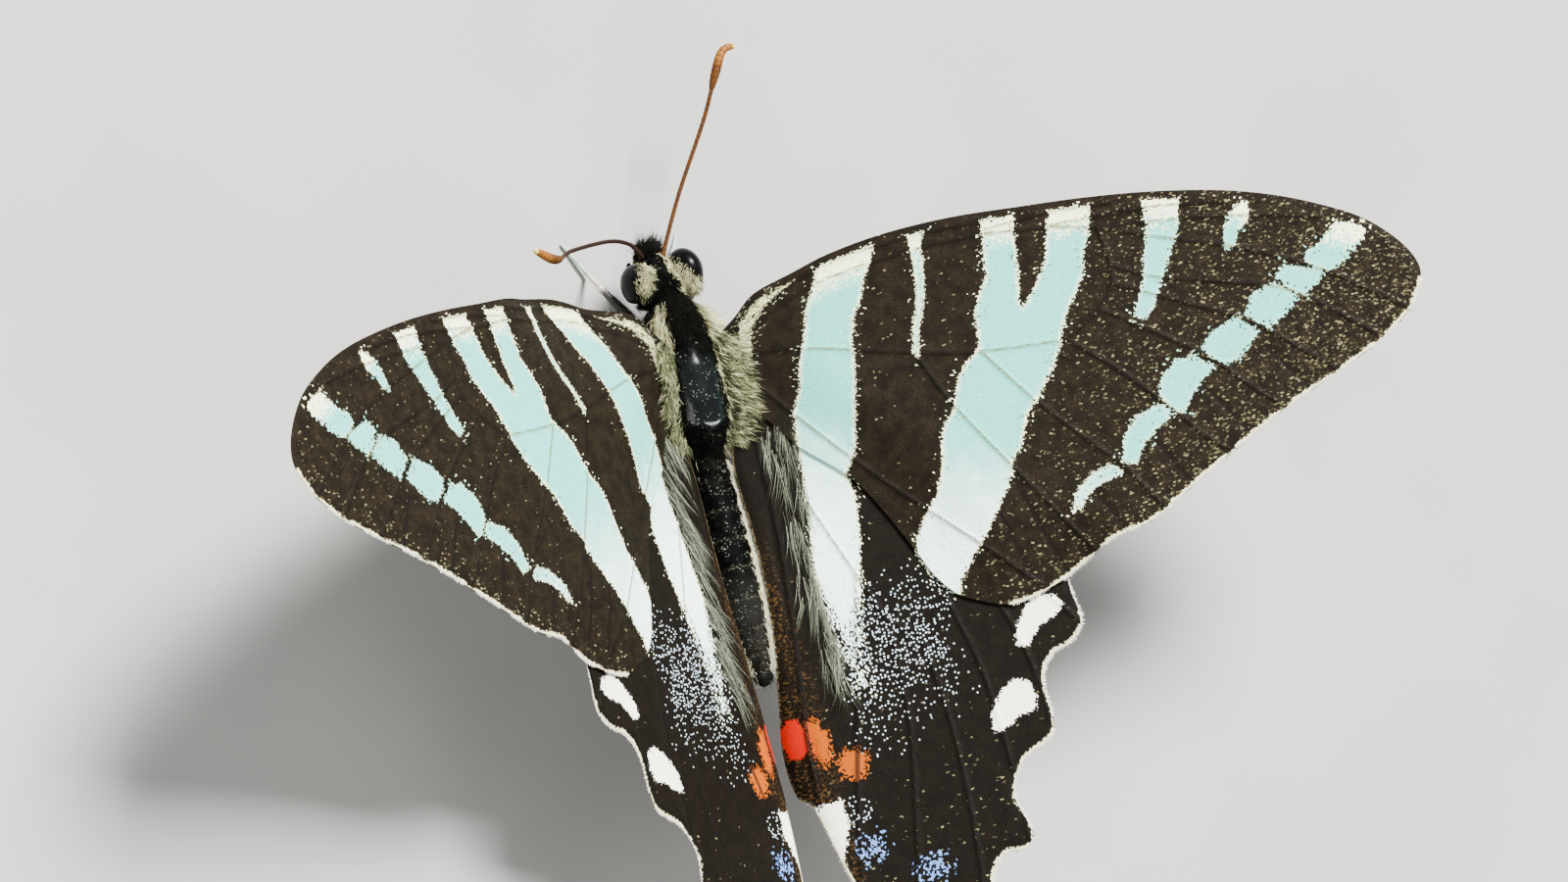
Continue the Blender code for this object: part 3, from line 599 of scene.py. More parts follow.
wingLook = {
    "scale": (0.13, 0.075), "speck": (0.17, 0.09),     # length and width of a scale and of a golden scale
    "dots": 4.9,               # bluish dots to a mm
    "blotch": 1.1, "fine": 6.0, "relief": 0.00005,
    "ground": (tone(18, 14, 9), tone(30, 24, 15)), "speckTone": tone(128, 122, 86), "flap": tone(58, 42, 24),
    "band": (tone(92, 180, 168), tone(236, 253, 244)), "bandEdge": tone(226, 234, 186),
    "dotTone": tone(190, 208, 216),
}


def wingPatterns(wires):       # the values that the wing's colours are made from
    names = ("pale", "fade", "dusted", "hind", "gold", "dust", "lunule", "blue", "red", "scarlet", "vein",
             "crease", "edge", "costa", "rim", "under", "out", "back", "reach", "turn")
    look = SimpleNamespace(**dict(zip(names, wires.attributes(*names))))
    long, wide = wingLook["scale"]
    speckLong, speckWide = wingLook["speck"]
    look.grain = wires.join(look.reach / long, look.turn / wide)
    scales = wires.cells(look.grain, 1.0, 1)
    look.chance, look.second, look.third = scales.part(0), scales.part(1), scales.part(2)
    look.plane = wires.join(look.out, look.back)
    look.blotch = wires.noise(look.plane, wingLook["blotch"], 3.0)
    look.fine = wires.noise(look.plane, wingLook["fine"])
    specks = wires.cells(wires.join(look.out / speckLong, look.back / speckWide), 1.0, 1)
    look.speck, look.bright = specks.part(1), specks.part(2)
    look.tooth = (look.chance - 0.5) * 0.2 + (look.fine - 0.5) * 0.52
    return look


def groundColour(look):        # brown-black with single golden scales, more of them towards the outer margin, and more on the right wing as painted glint
    outward = (look.reach.rise(12.0, 40.0) * 0.34 + 0.02) * (look.fine.rise(0.45, 0.7) + 0.2) * look.dusted
    outward = (outward + look.rim.rise(2.2, 0.4) * 0.05) * (1.0 - look.hind * 0.88)
    inward = look.out.rise(0.1, -0.9) * look.fine.rise(0.45, 0.65) * look.back.rise(7.0, 15.0)
    fleck = (look.bright > 0.86) * look.out.rise(0.3, -0.7) * look.back.rise(8.0, 15.0) * look.hind
    innerRim = look.out.rise(0.2, -0.2) * look.edge.rise(0.16, 0.06)
    return layered(
        look.blotch.rise(0.3, 0.7).mix(*wingLook["ground"]),
        (look.chance * 0.65, tone(11, 9, 6)),
        (look.hind * 0.7, tone(10, 8, 6)),
        ((look.speck < outward) * (look.bright * look.bright * 0.7 + 0.1), wingLook["speckTone"]),
        (inward * (0.05 + look.chance * 0.6), wingLook["flap"]),
        (fleck * 0.35, tone(92, 66, 34)),
        (innerRim * look.chance.rise(0.3, 0.7) * 0.5, tone(116, 104, 72)),
        (look.vein.rise(0.22, 0.08) * 0.5, tone(12, 9, 7)),
        # painted shade: darker along the creases
        (look.crease.rise(0.22, 0.05) * 0.85, tone(14, 11, 9)),
    )


def bandColour(look, bandEdge):        # turquoise, whiter towards the body (partly the band's own tone, partly painted brightness for the stronger light there), cream by the front edge
    whiteAndLit = (look.back - look.out * 0.45 - 0.6 + (look.blotch - 0.5) * 4.0).rise(0.0, 9.0)
    return layered(
        whiteAndLit.mix(*wingLook["band"]),
        (look.fine.rise(0.5, 0.75) * 0.5, tone(158, 220, 212)),
        ((look.costa + (look.second - 0.5) * 1.2).rise(2.1, 1.5), tone(240, 240, 196)),
        (look.third * look.third * 0.36, tone(84, 160, 148)),
        (look.vein.rise(0.13, 0.05) * (0.45 + look.chance * 0.55), tone(92, 86, 46)),
        (bandEdge.rise(0.22, 0.0) * (0.2 + look.reach.rise(32.0, 18.0) * 0.8), wingLook["bandEdge"]),
        (look.gold * look.third.rise(0.35, 0.65), tone(176, 168, 92)),
    )


def spotLayers(look, wires):   # the hindwing's bluish dots, lunules, blue and red spots
    dots, lot = [wires.cells(look.plane, wingLook["dots"], output) for output in (0, 1)]
    orange = (look.out + (look.chance - 0.5) * 0.5).rise(-1.5, -0.9)
    blue = (look.blue + (look.second - 0.5) * 1.3 - 0.1).rise(-0.02, 0.02)
    red = (look.red + look.tooth * 0.8 + (look.third - 0.5) * orange * 0.5).rise(-0.02, 0.02)
    return (
        (dots.rise(0.3, 0.2) * (lot.part(0) < look.dust * 0.68), wingLook["dotTone"]),
        ((look.lunule + look.tooth).rise(-0.02, 0.02), tone(236, 236, 218)),
        (blue * (look.third > 0.3), tone(92, 122, 176)),
        (red, orange.mix(tone(168, 16, 0), (look.second * 0.8).mix(tone(164, 70, 0), tone(128, 66, 8)))),
        ((look.vein.rise(0.2, 0.1) + look.fine * 0.2) * red * 0.8, tone(40, 24, 18)),
    )


def undersideLayers(look):     # paler below, with a red line that has black and cream borders
    scarlet = look.scarlet + (look.chance - 0.5) * 0.12
    return (
        (look.under * 0.3, tone(120, 104, 84)),
        (look.under * scarlet.rise(0.75, 0.65), tone(214, 208, 186)),
        (look.under * scarlet.rise(0.52, 0.44), tone(12, 9, 7)),
        (look.under * scarlet.rise(0.3, 0.22), tone(160, 18, 2)),
    )


def wingMaterial():
    material, wires, shader = newMaterial("wingScales", 0.7, Specular_IOR_Level=0.03)
    look = wingPatterns(wires)
    pale = look.pale.smaller(look.costa - 0.55)
    bandEdge = pale + 0.04 + look.tooth + (look.chance - 0.5) * look.fade * 1.6 - look.fade * 0.9
    strays = look.second > 1.0 - pale.rise(-0.8, 0.0) * 0.035         # single pale scales beside a band
    shown = bandEdge.rise(-0.02, 0.02).larger(strays)
    shown = shown * (1.0 - (look.third > 0.97) * bandEdge.rise(0.9, 0.1))
    margin = (look.rim + (look.chance - 0.5) * 0.16 + look.vein.rise(0.7, 0.1) * 0.15).rise(0.2, 0.12)
    shown = shown * (1.0 - look.gold * (look.second > 0.52))
    rim = (margin * 0.85, tone(214, 210, 166))
    colour = shown.mix(groundColour(look), bandColour(look, bandEdge))
    colour = layered(colour, *spotLayers(look, wires), rim, *undersideLayers(look))
    feed(shader, Base_Color=colour, Roughness=0.48 + look.chance * 0.25)
    height = look.vein.rise(0.22, 0.0) + look.chance * 0.18 - wires.cells(look.grain, 1.0, 0) * 0.3
    addBump(wires, shader, height, wingLook["relief"], 0.8)
    return material


def makeWings():
    paint = wingMaterial()
    wing["forewing"] = smoothLine(foreOutline + foreOutline[:1], 4)[:-1]
    wing["hindwing"] = joinedLines([hindOuter, tailOutline[:7], tailOutline[6:], hindInner], 4)
    for name in sides:
        for kind in ("forewing", "hindwing"):
            makeWing(kind, name, paint)
        print("wings", name, "ready")


# body: one skin over head, palps, thorax and abdomen, in mm about the wings' hinges
body = {
    "headTurn": math.radians(9), "headPivot": (0.0, -6.6), "voxel": 0.1, "step": 0.1, "sides": 64,
    "stations": [              # place along the body, height of the middle, half width, half height
        (-9.0, -2.15, 0.02, 0.02), (-8.98, -2.15, 0.22, 0.26), (-8.75, -2.1, 0.55, 0.6),
        (-8.3, -1.95, 0.84, 0.82), (-7.7, -1.6, 1.04, 0.97), (-7.0, -1.35, 1.18, 1.03),
        (-6.4, -1.22, 1.12, 1.0), (-5.9, -1.15, 0.98, 0.9), (-5.5, -1.1, 0.98, 0.95),
        (-5.1, -1.1, 1.2, 1.25), (-4.3, -1.2, 1.75, 1.8), (-3.0, -1.4, 2.08, 2.15),
        (-1.0, -1.45, 2.25, 2.28), (1.0, -1.5, 2.2, 2.2), (2.2, -1.6, 2.0, 1.98),
        (2.5, -1.66, 1.86, 1.82), (3.0, -1.72, 1.68, 1.66), (3.6, -1.82, 1.4, 1.38),
        (4.0, -1.92, 1.2, 1.2), (4.4, -1.95, 1.24, 1.24), (5.2, -2.0, 1.36, 1.36),
        (7.0, -2.1, 1.47, 1.47), (9.0, -2.15, 1.57, 1.55), (11.0, -2.2, 1.62, 1.59),
        (13.0, -2.2, 1.55, 1.52), (15.0, -2.1, 1.32, 1.29), (16.8, -2.0, 0.97, 0.97),
        (17.9, -1.95, 0.6, 0.58), (18.4, -1.93, 0.3, 0.28), (18.5, -1.93, 0.02, 0.02),
    ],
    "joints": [5.9, 7.7, 9.5, 11.3, 13.2, 15.0, 16.6], "jointDepth": 0.06, "jointWidth": 0.25,
    "palp": [(0.55, -7.8, -2.6), (0.6, -8.1, -3.0), (0.59, -8.35, -3.14), (0.56, -8.55, -3.1),
             (0.54, -8.62, -3.0)],
    "palpRadii": [0.2, 0.24, 0.22, 0.17, 0.05], "palpSides": 16,
    "thoraxEnd": 4.1, "abdomenStart": 4.6,
    "bandShift": 0.25,         # how far the black band lies off the middle, at the head and the rear
    "blackHalf": ([-9, -8, -7, -6, -5, -4.2, -2.7, -1.4, 0.8, 2.6, 4],
                  [0.55, 0.62, 0.66, 0.9, 1.15, 1.3, 1.42, 1.58, 1.74, 1.56, 1.2]),
    "creamEnd": ([-9, -8, -6.5, -5, -4.4, -3, -1.4, 0.8, 4], [1.2, 1.2, 1.1, 1.5, 1.65, 2.05, 2.3, 2.4, 2.0]),
    "crescent": 2.66,          # the pale bow at the dome's rear end
}


def turnHead(found):           # the head looks a little to the animal's left
    pivot = body["headPivot"]
    angle = body["headTurn"] * ease(-found[:, 1], 5.5, 6.4)
    aside, ahead = found[:, 0] - pivot[0], found[:, 1] - pivot[1]
    turned = found.copy()
    turned[:, 0] = pivot[0] + aside * np.cos(angle) - ahead * np.sin(angle)
    turned[:, 1] = pivot[1] + aside * np.sin(angle) + ahead * np.cos(angle)
    return turned


def toFrame(found):            # from mm about the hinges' level to metres in the part's frame
    return (found + np.array([0, bodyShift, hingeLevel])) * mm


def wrapTube(path, radii, count):  # a grid wrapped round a path; radii near nothing close its ends
    path, radii = np.array(path, float), np.array(radii, float)
    bpy.ops.object.select_all(action="DESELECT")
    bpy.ops.mesh.primitive_grid_add(x_subdivisions=len(path) - 1, y_subdivisions=count, size=1)
    piece = bpy.context.object
    along = unit(np.gradient(path, axis=0))
    across = np.cross(along[0], (0, 0, 1.0) if abs(along[0][2]) < 0.9 else (0, 1.0, 0))
    asides, ups = [], []
    for run in along:
        across = across - run * (across @ run)
        across /= np.linalg.norm(across)
        asides.append(across)
        ups.append(np.cross(across, run))
    index = np.arange(len(piece.data.vertices))
    step, corner = index % len(path), index // len(path)
    angle = -2 * math.pi * corner / count
    wide, tall = (radii, radii) if radii.ndim == 1 else radii.T
    spots = path[step] + (np.cos(angle) * wide[step])[:, None] * np.array(asides)[step]
    setPlaces(piece, spots + (np.sin(angle) * tall[step])[:, None] * np.array(ups)[step])
    selectOnly(piece)
    setMode("EDIT")
    bpy.ops.mesh.select_all(action="SELECT")
    bpy.ops.mesh.remove_doubles(threshold=0.004)
    bpy.ops.mesh.normals_make_consistent(inside=False)
    setMode("OBJECT")
    return piece


def nearestStep(piece, path):  # for each point of a tube, the step of its path that it belongs to
    return np.array([np.argmin(((path - spot) ** 2).sum(axis=1)) for spot in places(piece)])


def bodyHalf(back):            # middle height, half width and half height at places along the body
    table = np.array(body["stations"])
    return [np.interp(back, table[:, 0], table[:, column]) for column in (1, 2, 3)]


def nearJoint(back, width, fade):      # 1 at the abdomen's joints, and nothing at this width from them
    return np.maximum.reduce([ease(width - np.abs(back - joint), 0, fade) for joint in body["joints"]])


def bodyMarks(found):          # how cream, grey and bald the body is, from the place on its unturned shape
    across, back = found[:, 0], found[:, 1]
    shift = np.maximum(ease(-back, 4.4, 6.2), 1.2 * ease(back, -2.5, -0.5))
    side = np.abs(across - body["bandShift"] * shift)
    middle, wide, tall = bodyHalf(back)
    upward = (found[:, 2] - middle) / np.maximum(tall, 0.05)
    wavy = 0.1 * np.sin(back * 5.3 + across * 3.1) + 0.08 * np.sin(back * 11.7 - across * 7.3)
    inner = np.interp(back, *body["blackHalf"]) + wavy
    outer = np.interp(back, *body["creamEnd"]) + wavy
    front, rear = back < body["thoraxEnd"], back > body["abdomenStart"]
    between = ease(side, inner - 0.12, inner + 0.15) * (1 - ease(side, outer - 0.15, outer + 0.2))
    neck = ease(back, -6.6, -6.0) * ease(-back, 3.2, 3.8)          # black below the stripes here
    above = 1 - neck * (1 - ease(upward, 0.25, 0.5))
    cream = between * ease(upward, -0.05, 0.2)
    cream = cream * front * above * ease(back, -8.75, -8.3) * (1 - ease(back, -2.2, 2.0) * 0.55)
    lower = (1 - ease(np.abs(upward + 0.35), 0.1, 0.2)) * front * ease(back, -5.4, -4.6) * 0.8
    cream = np.maximum(cream, lower)
    grey = ease(side, inner + 0.1, inner + 0.7) * front * above * (1 - cream * 0.8) * ease(back, -6.4, -5.4)
    level = np.where(across > 0, 0.12, 0.56)   # the wing lies over the stripe's upper half on the left
    half = 0.1 + 0.16 * ease(back, 5.0, 11.0)
    stripe = 1 - ease(np.abs(upward - level + wavy * 0.3), half, half + 0.08)
    stripe = stripe * rear * (1 - ease(back, 17.2, 18.0))
    belly = (1 - ease(np.abs(upward + 0.62), 0.1, 0.2)) * rear * 0.8
    cream = np.maximum(cream, np.maximum(stripe, belly))
    tip = ease(back, 12.5, 16.5) * 0.15
    bald = 1 - ease(np.abs(across - 0.12), inner - 0.48, inner - 0.14)     # the thorax's glossy dome
    bald = bald * ease(back, -2.2, -1.0) * (upward > 0) * (1 - ease(back + 0.3 * across ** 2, 2.6, 3.0))
    return cream, np.maximum(grey, tip), bald


def furMaterial():
    material, wires, shader = newMaterial("bodyFur", 0.62, Specular_IOR_Level=0.04)
    cream, grey, white, chance, tip = wires.attributes("cream", "grey", "white", "chance", "tip")
    pale = chance.rise(0.1, 0.9).mix(tone(54, 60, 30), tone(190, 198, 142))
    light = chance.rise(0.08, 0.8).mix(tone(106, 104, 58), tone(255, 252, 196))
    light = (white * 0.8).mix(light, chance.mix(tone(208, 204, 168), tone(255, 253, 240)))
    colour = layered(
        (chance * chance).mix(tone(2, 2, 1), tone(12, 12, 8)),
        ((grey * (0.4 + chance * 1.2)).rise(0.2, 0.7), pale),
        ((cream * (0.45 + chance * 1.1) + (chance > 0.985) * 0.4).rise(0.3, 0.6), light),
    )
    # root: each strand darker towards its root, painted shade between the hairs
    root = (0.45 + chance * 0.45).mix(colour, tone(12, 12, 7))
    feed(shader, Base_Color=tip.rise(0.05, 0.62).mix(root, colour), Roughness=0.5 + chance * 0.25)
    return material


skinLook = {"fine": 9000.0, "streak": 1900.0, "grains": 20000.0, "relief": 0.00004, "gloss": 0.42}


def skinMaterial():
    material, wires, shader = newMaterial("bodySkin", 0.3, Coat_Roughness=0.13, Specular_IOR_Level=0.015)
    place = wires.objectPlace()
    fine = wires.noise(place, skinLook["fine"], 3.0)
    streak = wires.noise(place, skinLook["streak"])
    grains = wires.cells(place, skinLook["grains"], 1, "3D").part(0)
    cream, grey, bald = wires.attributes("cream", "grey", "bald")
    joint, crescent, hindmost = wires.attributes("joint", "crescent", "hindmost")
    colour = layered(
        streak.rise(0.35, 0.7).mix(tone(1, 1, 1), tone(6, 6, 5)),
        # the dome a little lighter and bluer: painted blue reflection
        (bald * 0.6, tone(9, 12, 13)),
        (hindmost * (0.15 + grains * 0.4), tone(34, 33, 29)),
        (grey * 0.45 * fine.rise(0.3, 0.6), tone(60, 57, 44)),
        # cream skin, kept darker than the hair's cream: partly painted shade beneath the fur
        ((cream + (fine - 0.5) * 1.2).rise(0.4, 0.7), tone(156, 148, 108)),
        # scattered pale specks: pale scales, partly painted glints
        ((grains > 0.96) * streak.rise(0.44, 0.62) * 0.65, tone(126, 134, 118)),
        (joint * fine.rise(0.5, 0.65) * 0.5, tone(150, 144, 118)),
        (crescent * fine.rise(0.35, 0.55) * 0.55, tone(200, 204, 192)),
    )
    roughness = 0.6 - bald * 0.34 + (fine - 0.5) * 0.3
    feed(shader, Base_Color=colour, Roughness=roughness, Coat_Weight=bald * skinLook["gloss"])
    addBump(wires, shader, fine * 0.4 + streak, skinLook["relief"], 0.5)
    return material


def makeTrunk():               # head, thorax and abdomen as one tube with grooves at the joints
    stations = np.array(body["stations"])[:, 0]
    marks = np.unique(np.concatenate([np.arange(stations[0], stations[-1], body["step"]), stations]))
    middle, wide, tall = bodyHalf(marks)
    groove = body["jointDepth"] * nearJoint(marks, body["jointWidth"], body["jointWidth"])
    path = np.stack([np.zeros(len(marks)), marks, middle], axis=1)
    return wrapTube(path, np.maximum(np.stack([wide - groove, tall - groove], axis=1), 0.001), body["sides"])


def makePalp(side):
    line = smoothLine([(side * x, y, z) for x, y, z in body["palp"]], 5)
    count = len(body["palpRadii"])
    radii = np.interp(np.linspace(0, 1, len(line)), np.linspace(0, 1, count), body["palpRadii"])
    radii[-1] = radii[0] = 0.001
    return wrapTube(line, radii, body["palpSides"])


def makeSkin():
    skin = makeTrunk()
    for piece in [makePalp(side) for side in sides.values()] + [skin]:
        piece.select_set(True)
    bpy.context.view_layer.objects.active = skin
    bpy.ops.object.join()
    skin.data.remesh_voxel_size = body["voxel"]
    bpy.ops.object.voxel_remesh()
    applyModifier(skin, "SMOOTH", factor=0.5, iterations=3)
    found = places(skin)
    across, back, level = found.T
    cream, grey, bald = bodyMarks(found)
    bow = body["crescent"] - 0.3 * (across / 0.75) ** 2
    crescent = ease(0.07 - np.abs(back - bow), 0, 0.06) * ease(0.6 - np.abs(across), 0, 0.3) * (level > -0.6)
    setAttributes(skin, {"cream": cream, "grey": grey, "bald": bald, "joint": nearJoint(back, 0.07, 0.06),
                         "crescent": crescent, "hindmost": ease(back, 11.0, 13.5)})
    setPlaces(skin, toFrame(turnHead(found)))
    nodes = ["head", "thorax", "abdomen", "palp_left", "palp_right"]
    finishPiece(skin, "body_skin", skinMaterial(), nodes)
    print("skin ready", len(found))


# hair: one strand is modelled, and copies of it are set in tufts over the body in joined meshes
hair = {
    "seed": 7, "width": 0.034, "perTuft": 6, "spread": 0.16, "gather": 0.3,
    "parts": {                 # tufts, and the stretch of the body they stand on
        "head": (2700, -9.0, -5.5), "neck": (2500, -6.0, -3.4), "front": (2800, -3.4, -1.0),
        "middle": (2800, -1.0, 1.8), "hind": (2600, 1.8, 4.4), "abdomen": (2800, 4.2, 18.3),
    },
    "short": ((0.5, 1.0), (0.84,)), "long": ((0.4, 0.7, 1.0), (0.84, 0.55)),   # heights and girths
    "brow": 260, "browPlace": (-8.92, -8.2, 0.8),
    "shoulder": 520, "shoulderHeight": 0.3, "shoulderShift": {"left": 0.24, "right": 0.0},
    "ruff": 900, "ruffLength": {"left": 0.5, "right": 0.8},
    "ruffPlace": {"left": ((-0.86, 0.26, 0.44), 0.12), "right": ((-0.66, 0.57, -0.49), 0.02)},
    "eyeRoom": (1.0, 1.36, 1.35),
    "patch": 0.0028,           # how much of the OFBake map a strand takes
}


def makeStrand(heights, girths):   # a three-sided tapered spike, one long and one wide, closed at its root
    bpy.ops.object.select_all(action="DESELECT")
    bpy.ops.mesh.primitive_cone_add(vertices=3, radius1=0.5, radius2=girths[0] / 2, depth=heights[0],
                                    location=(0, 0, heights[0] / 2))
    strand = bpy.context.object
    clearFaces()
    top = max(strand.data.polygons, key=lambda face: face.center[2])
    top.select = True
    setMode("EDIT")
    for step in range(1, len(heights)):
        rise = (0, 0, heights[step] - heights[step - 1])
        bpy.ops.mesh.extrude_region_move(TRANSFORM_OT_translate={"value": rise})
        if step < len(girths):
            share = girths[step] / girths[step - 1]
            bpy.ops.transform.resize(value=(share, share, 1))
    bpy.ops.mesh.merge(type="CENTER")
    setMode("OBJECT")
    found = places(strand), [tuple(face.vertices) for face in strand.data.polygons]
    bpy.data.objects.remove(strand)
    return found


def copyStrands(name, spots, faces):   # one mesh with the strand's faces at every row of spots
    count, size = spots.shape[:2]
    corners = np.array([corner for face in faces for corner in face])
    starts = np.cumsum([0] + [len(face) for face in faces[:-1]])
    loops = (corners + size * np.arange(count)[:, None]).ravel()
    mesh = bpy.data.meshes.new(name)
    mesh.vertices.add(count * size)
    mesh.vertices.foreach_set("co", spots.ravel())
    mesh.loops.add(len(loops))
    mesh.loops.foreach_set("vertex_index", loops)
    mesh.polygons.add(count * len(faces))
    mesh.polygons.foreach_set("loop_start", (starts + len(corners) * np.arange(count)[:, None]).ravel())
    mesh.update(calc_edges=True)
    piece = bpy.data.objects.new(name, mesh)
    bpy.context.scene.collection.objects.link(piece)
    return piece, loops


def plantHair(name, roots, lean, lengths, width, curl, material, marks, maps, thick=1.0, strand="long"):
    shape, faces = hair[strand + "Strand"]
    along = unit(lean)
    aside = unit(np.cross(along, curl), 1e-9)
    across = np.cross(along, aside)
    width = width * mm
    t = shape[:, 2][None, :, None]
    rise = (along[:, None, :] * t + curl[:, None, :] * t ** 2) * (lengths * mm)[:, None, None]
    spots = roots[:, None, :] + rise
    spots = spots + aside[:, None, :] * (width * shape[:, 0])[:, None]
    spots = spots + across[:, None, :] * (width * thick * shape[:, 1])[:, None]
    piece, loops = copyStrands(name, spots, faces)
    setAttributes(piece, {key: np.repeat(values, len(shape)) for key, values in marks.items()})
    setAttributes(piece, {"tip": np.tile(shape[:, 2], len(roots))})
    layer = piece.data.uv_layers.new(name="OFBake")
    spread = np.tile(shape[:, [0, 2]], (len(roots), 1))[loops] - (0.0, 0.5)
    patch = maps[loops // len(shape)] + hair["patch"] * spread
    layer.data.foreach_set("uv", patch.astype(np.float32).ravel())
    finishPiece(piece, name, material)
    print(name, "has", len(roots), "strands")


def plantTufts(name, roots, outward, lean, lengths, marks, maps, draw, material, gather=None):
    each, gather = hair["perTuft"], gather or hair["gather"]
    tufts = len(roots)
    offset = draw.normal(size=(tufts, each, 3)) * hair["spread"]
    offset -= outward[:, None] * (offset * outward[:, None]).sum(axis=2)[:, :, None]
    reach = lengths[:, None] * draw.uniform(0.65, 1.15, (tufts, each))
    stray = draw.normal(size=(tufts, each, 3)) * 0.09 * reach[:, :, None]
    flight = unit(lean)[:, None] * reach[:, :, None] - offset * gather + stray
    curl = np.repeat(-outward * 0.2, each, axis=0) + draw.normal(size=(tufts * each, 3)) * 0.08
    chance = 0.55 * np.repeat(draw.uniform(size=tufts), each) + 0.45 * draw.uniform(size=tufts * each)
    spread = {key: np.repeat(np.broadcast_to(values, tufts), each) for key, values in marks.items()}
    start = (roots[:, None] + offset - outward[:, None] * 0.06).reshape(-1, 3)
    patches = np.repeat(maps, each, axis=0) + draw.normal(size=(tufts * each, 2)) * 0.002
    plantHair(name, toFrame(start), flight.reshape(-1, 3), reach.ravel(), hair["width"], curl,
              material, {"chance": chance, **spread}, patches, 1.0, "short")


def bodyRoots(count, low, high, draw, reach=math.pi):
    back = draw.uniform(low, high, count)
    turn = draw.uniform(-reach, reach, count)
    middle, wide, tall = bodyHalf(back)
    spots = np.stack([wide * np.sin(turn), back, middle + tall * np.cos(turn)], axis=1)
    outward = unit(np.stack([np.sin(turn) / wide, np.zeros(count), np.cos(turn) / tall], axis=1))
    maps = np.stack([0.05 + 0.9 * (turn / (2 * math.pi) + 0.5), 0.05 + 0.9 * (back + 9.2) / 28], axis=1)
    return spots, outward, maps


def headCoat(spots, upward, flank, draw):      # length, how far it stands off, and how far it leans back
    back, onRight = spots[:, 1], spots[:, 0] < 0
    front = ease(-back, 7.9, 8.5)
    length = 0.45 - 0.22 * front + 0.1 * draw.uniform(size=len(spots))
    length *= 1 - 0.5 * front * (upward < 0.2)
    length += (0.5 + 0.5 * onRight) * ease(back, -6.9, -6.0) * flank
    return length, 0.9 + 0.8 * flank * onRight * ease(back, -6.9, -6.0), 0.8 - 1.9 * front


def abdomenCoat(spots, cream, draw):
    thorax = ease(-spots[:, 1], -7.0, -4.2)    # longer by the thorax
    length = 0.26 + 0.5 * thorax + 0.1 * draw.uniform(size=len(spots)) + 0.15 * (cream > 0.5)
    return length, 0.14 + 0.4 * (cream > 0.5), 1.0


def thoraxCoat(spots, upward, flank, part, draw):
    back, onRight = spots[:, 1], spots[:, 0] < 0
    length = 0.4 + flank * 1.1 + 0.3 * draw.uniform(size=len(spots))
    length += 0.55 * flank * ease(back, -2.2, 0.0) * ease(upward, -0.2, 0.2)
    length *= 1 - 0.45 * ease(-upward, -0.1, 0.6)
    stand = 0.4 + 0.55 * flank + 0.75 * flank * ease(back, -3.0, 0.0)
    facing = flank * ease(upward, -0.1, 0.3)
    away = facing * np.where(onRight, 1 - ease(back, -1.0, 1.0), ease(back, -2.6, -1.4))
    length += 0.6 * away
    return length, stand + 0.5 * away + 0.9 * flank * onRight * (part == "neck"), 1.0


def makeCoat(part, count, low, high, draw, material):
    spots, outward, maps = bodyRoots(count, low, high, draw)
    cream, grey, bald = bodyMarks(spots)
    back, upward = spots[:, 1], outward[:, 2]
    keep = draw.uniform(size=count) > bald * 0.995
    inner = np.interp(back, *body["blackHalf"])
    flank = ease(np.abs(spots[:, 0]), inner - 0.1, inner + 0.25)
    if part == "head":
        length, stand, backward = headCoat(spots, upward, flank, draw)
    elif part == "abdomen":
        length, stand, backward = abdomenCoat(spots, cream, draw)
        keep &= (cream > 0.3) | (draw.uniform(size=count) < 0.75 - 0.4 * ease(back, 11, 13.5))
    else:
        length, stand, backward = thoraxCoat(spots, upward, flank, part, draw)
    lean = outward * stand[:, None]
    lean[:, 1] = backward + lean[:, 1]
    lean = lean + draw.normal(size=(count, 3)) * 0.22
    if part == "head":         # none on the eyes
        spots = turnHead(spots)
        for side in sides.values():
            keep &= np.linalg.norm((spots - eyePlace(side)) / hair["eyeRoom"], axis=1) > 0.97
    chosen = np.nonzero(keep)[0]
    marks = {"cream": cream[chosen], "grey": grey[chosen], "white": float(part == "abdomen")}
    plantTufts(f"{part}_hair", spots[chosen], outward[chosen], lean[chosen], length[chosen], marks,
               maps[chosen], draw, material)


def makeBrowTuft(draw, material):      # the black tuft between the antennae
    count, (low, high, reach) = hair["brow"], hair["browPlace"]
    spots, outward, maps = bodyRoots(count, low, high, draw, reach)
    lean = np.array([0, -0.8, 0.6]) + outward * 0.3 + draw.normal(size=(count, 3)) * 0.34
    lean[:, 0] += spots[:, 0] * 1.3
    plantTufts("brow_tuft", turnHead(spots), outward, lean, draw.uniform(0.8, 2.1, count),
               {"cream": 0.0, "grey": 0.0, "white": 0.0}, maps, draw, material, 0.6)


def makeShoulderHair(name, side, draw, material):      # loose grey hair over a wing's base
    count = hair["shoulder"]
    out = draw.uniform(-0.4, 0.7, count) + hair["shoulderShift"][name]
    flat = np.stack([out, draw.uniform(-2.5, 3.5, count)], axis=1)
    behind = ease(flat[:, 1], 1.3, 3.3)
    flat[:, 0] -= 0.45 * behind
    spots = onWing(flat, hair["shoulderHeight"], "forewing", side) / mm - (0, bodyShift, hingeLevel)
    spots[:, 2] -= 0.65 * behind
    outward = np.broadcast_to((-0.5 * side, 0.0, 0.87), spots.shape)
    lean = np.array([0.62 * side, 0.75, 0.8]) + draw.normal(size=spots.shape) * 0.25
    maps = np.stack([0.98 + 0.02 * flat[:, 0], 0.6 + 0.03 * flat[:, 1]], axis=1)
    lengths = draw.uniform(0.8, 1.7, count)
    marks = {"cream": draw.uniform(0.0, 0.5, count), "grey": draw.uniform(0.2, 0.65, count), "white": 0.0}
    plantTufts(f"shoulder_hair_{name}", spots, outward, lean, lengths, marks, maps, draw, material)


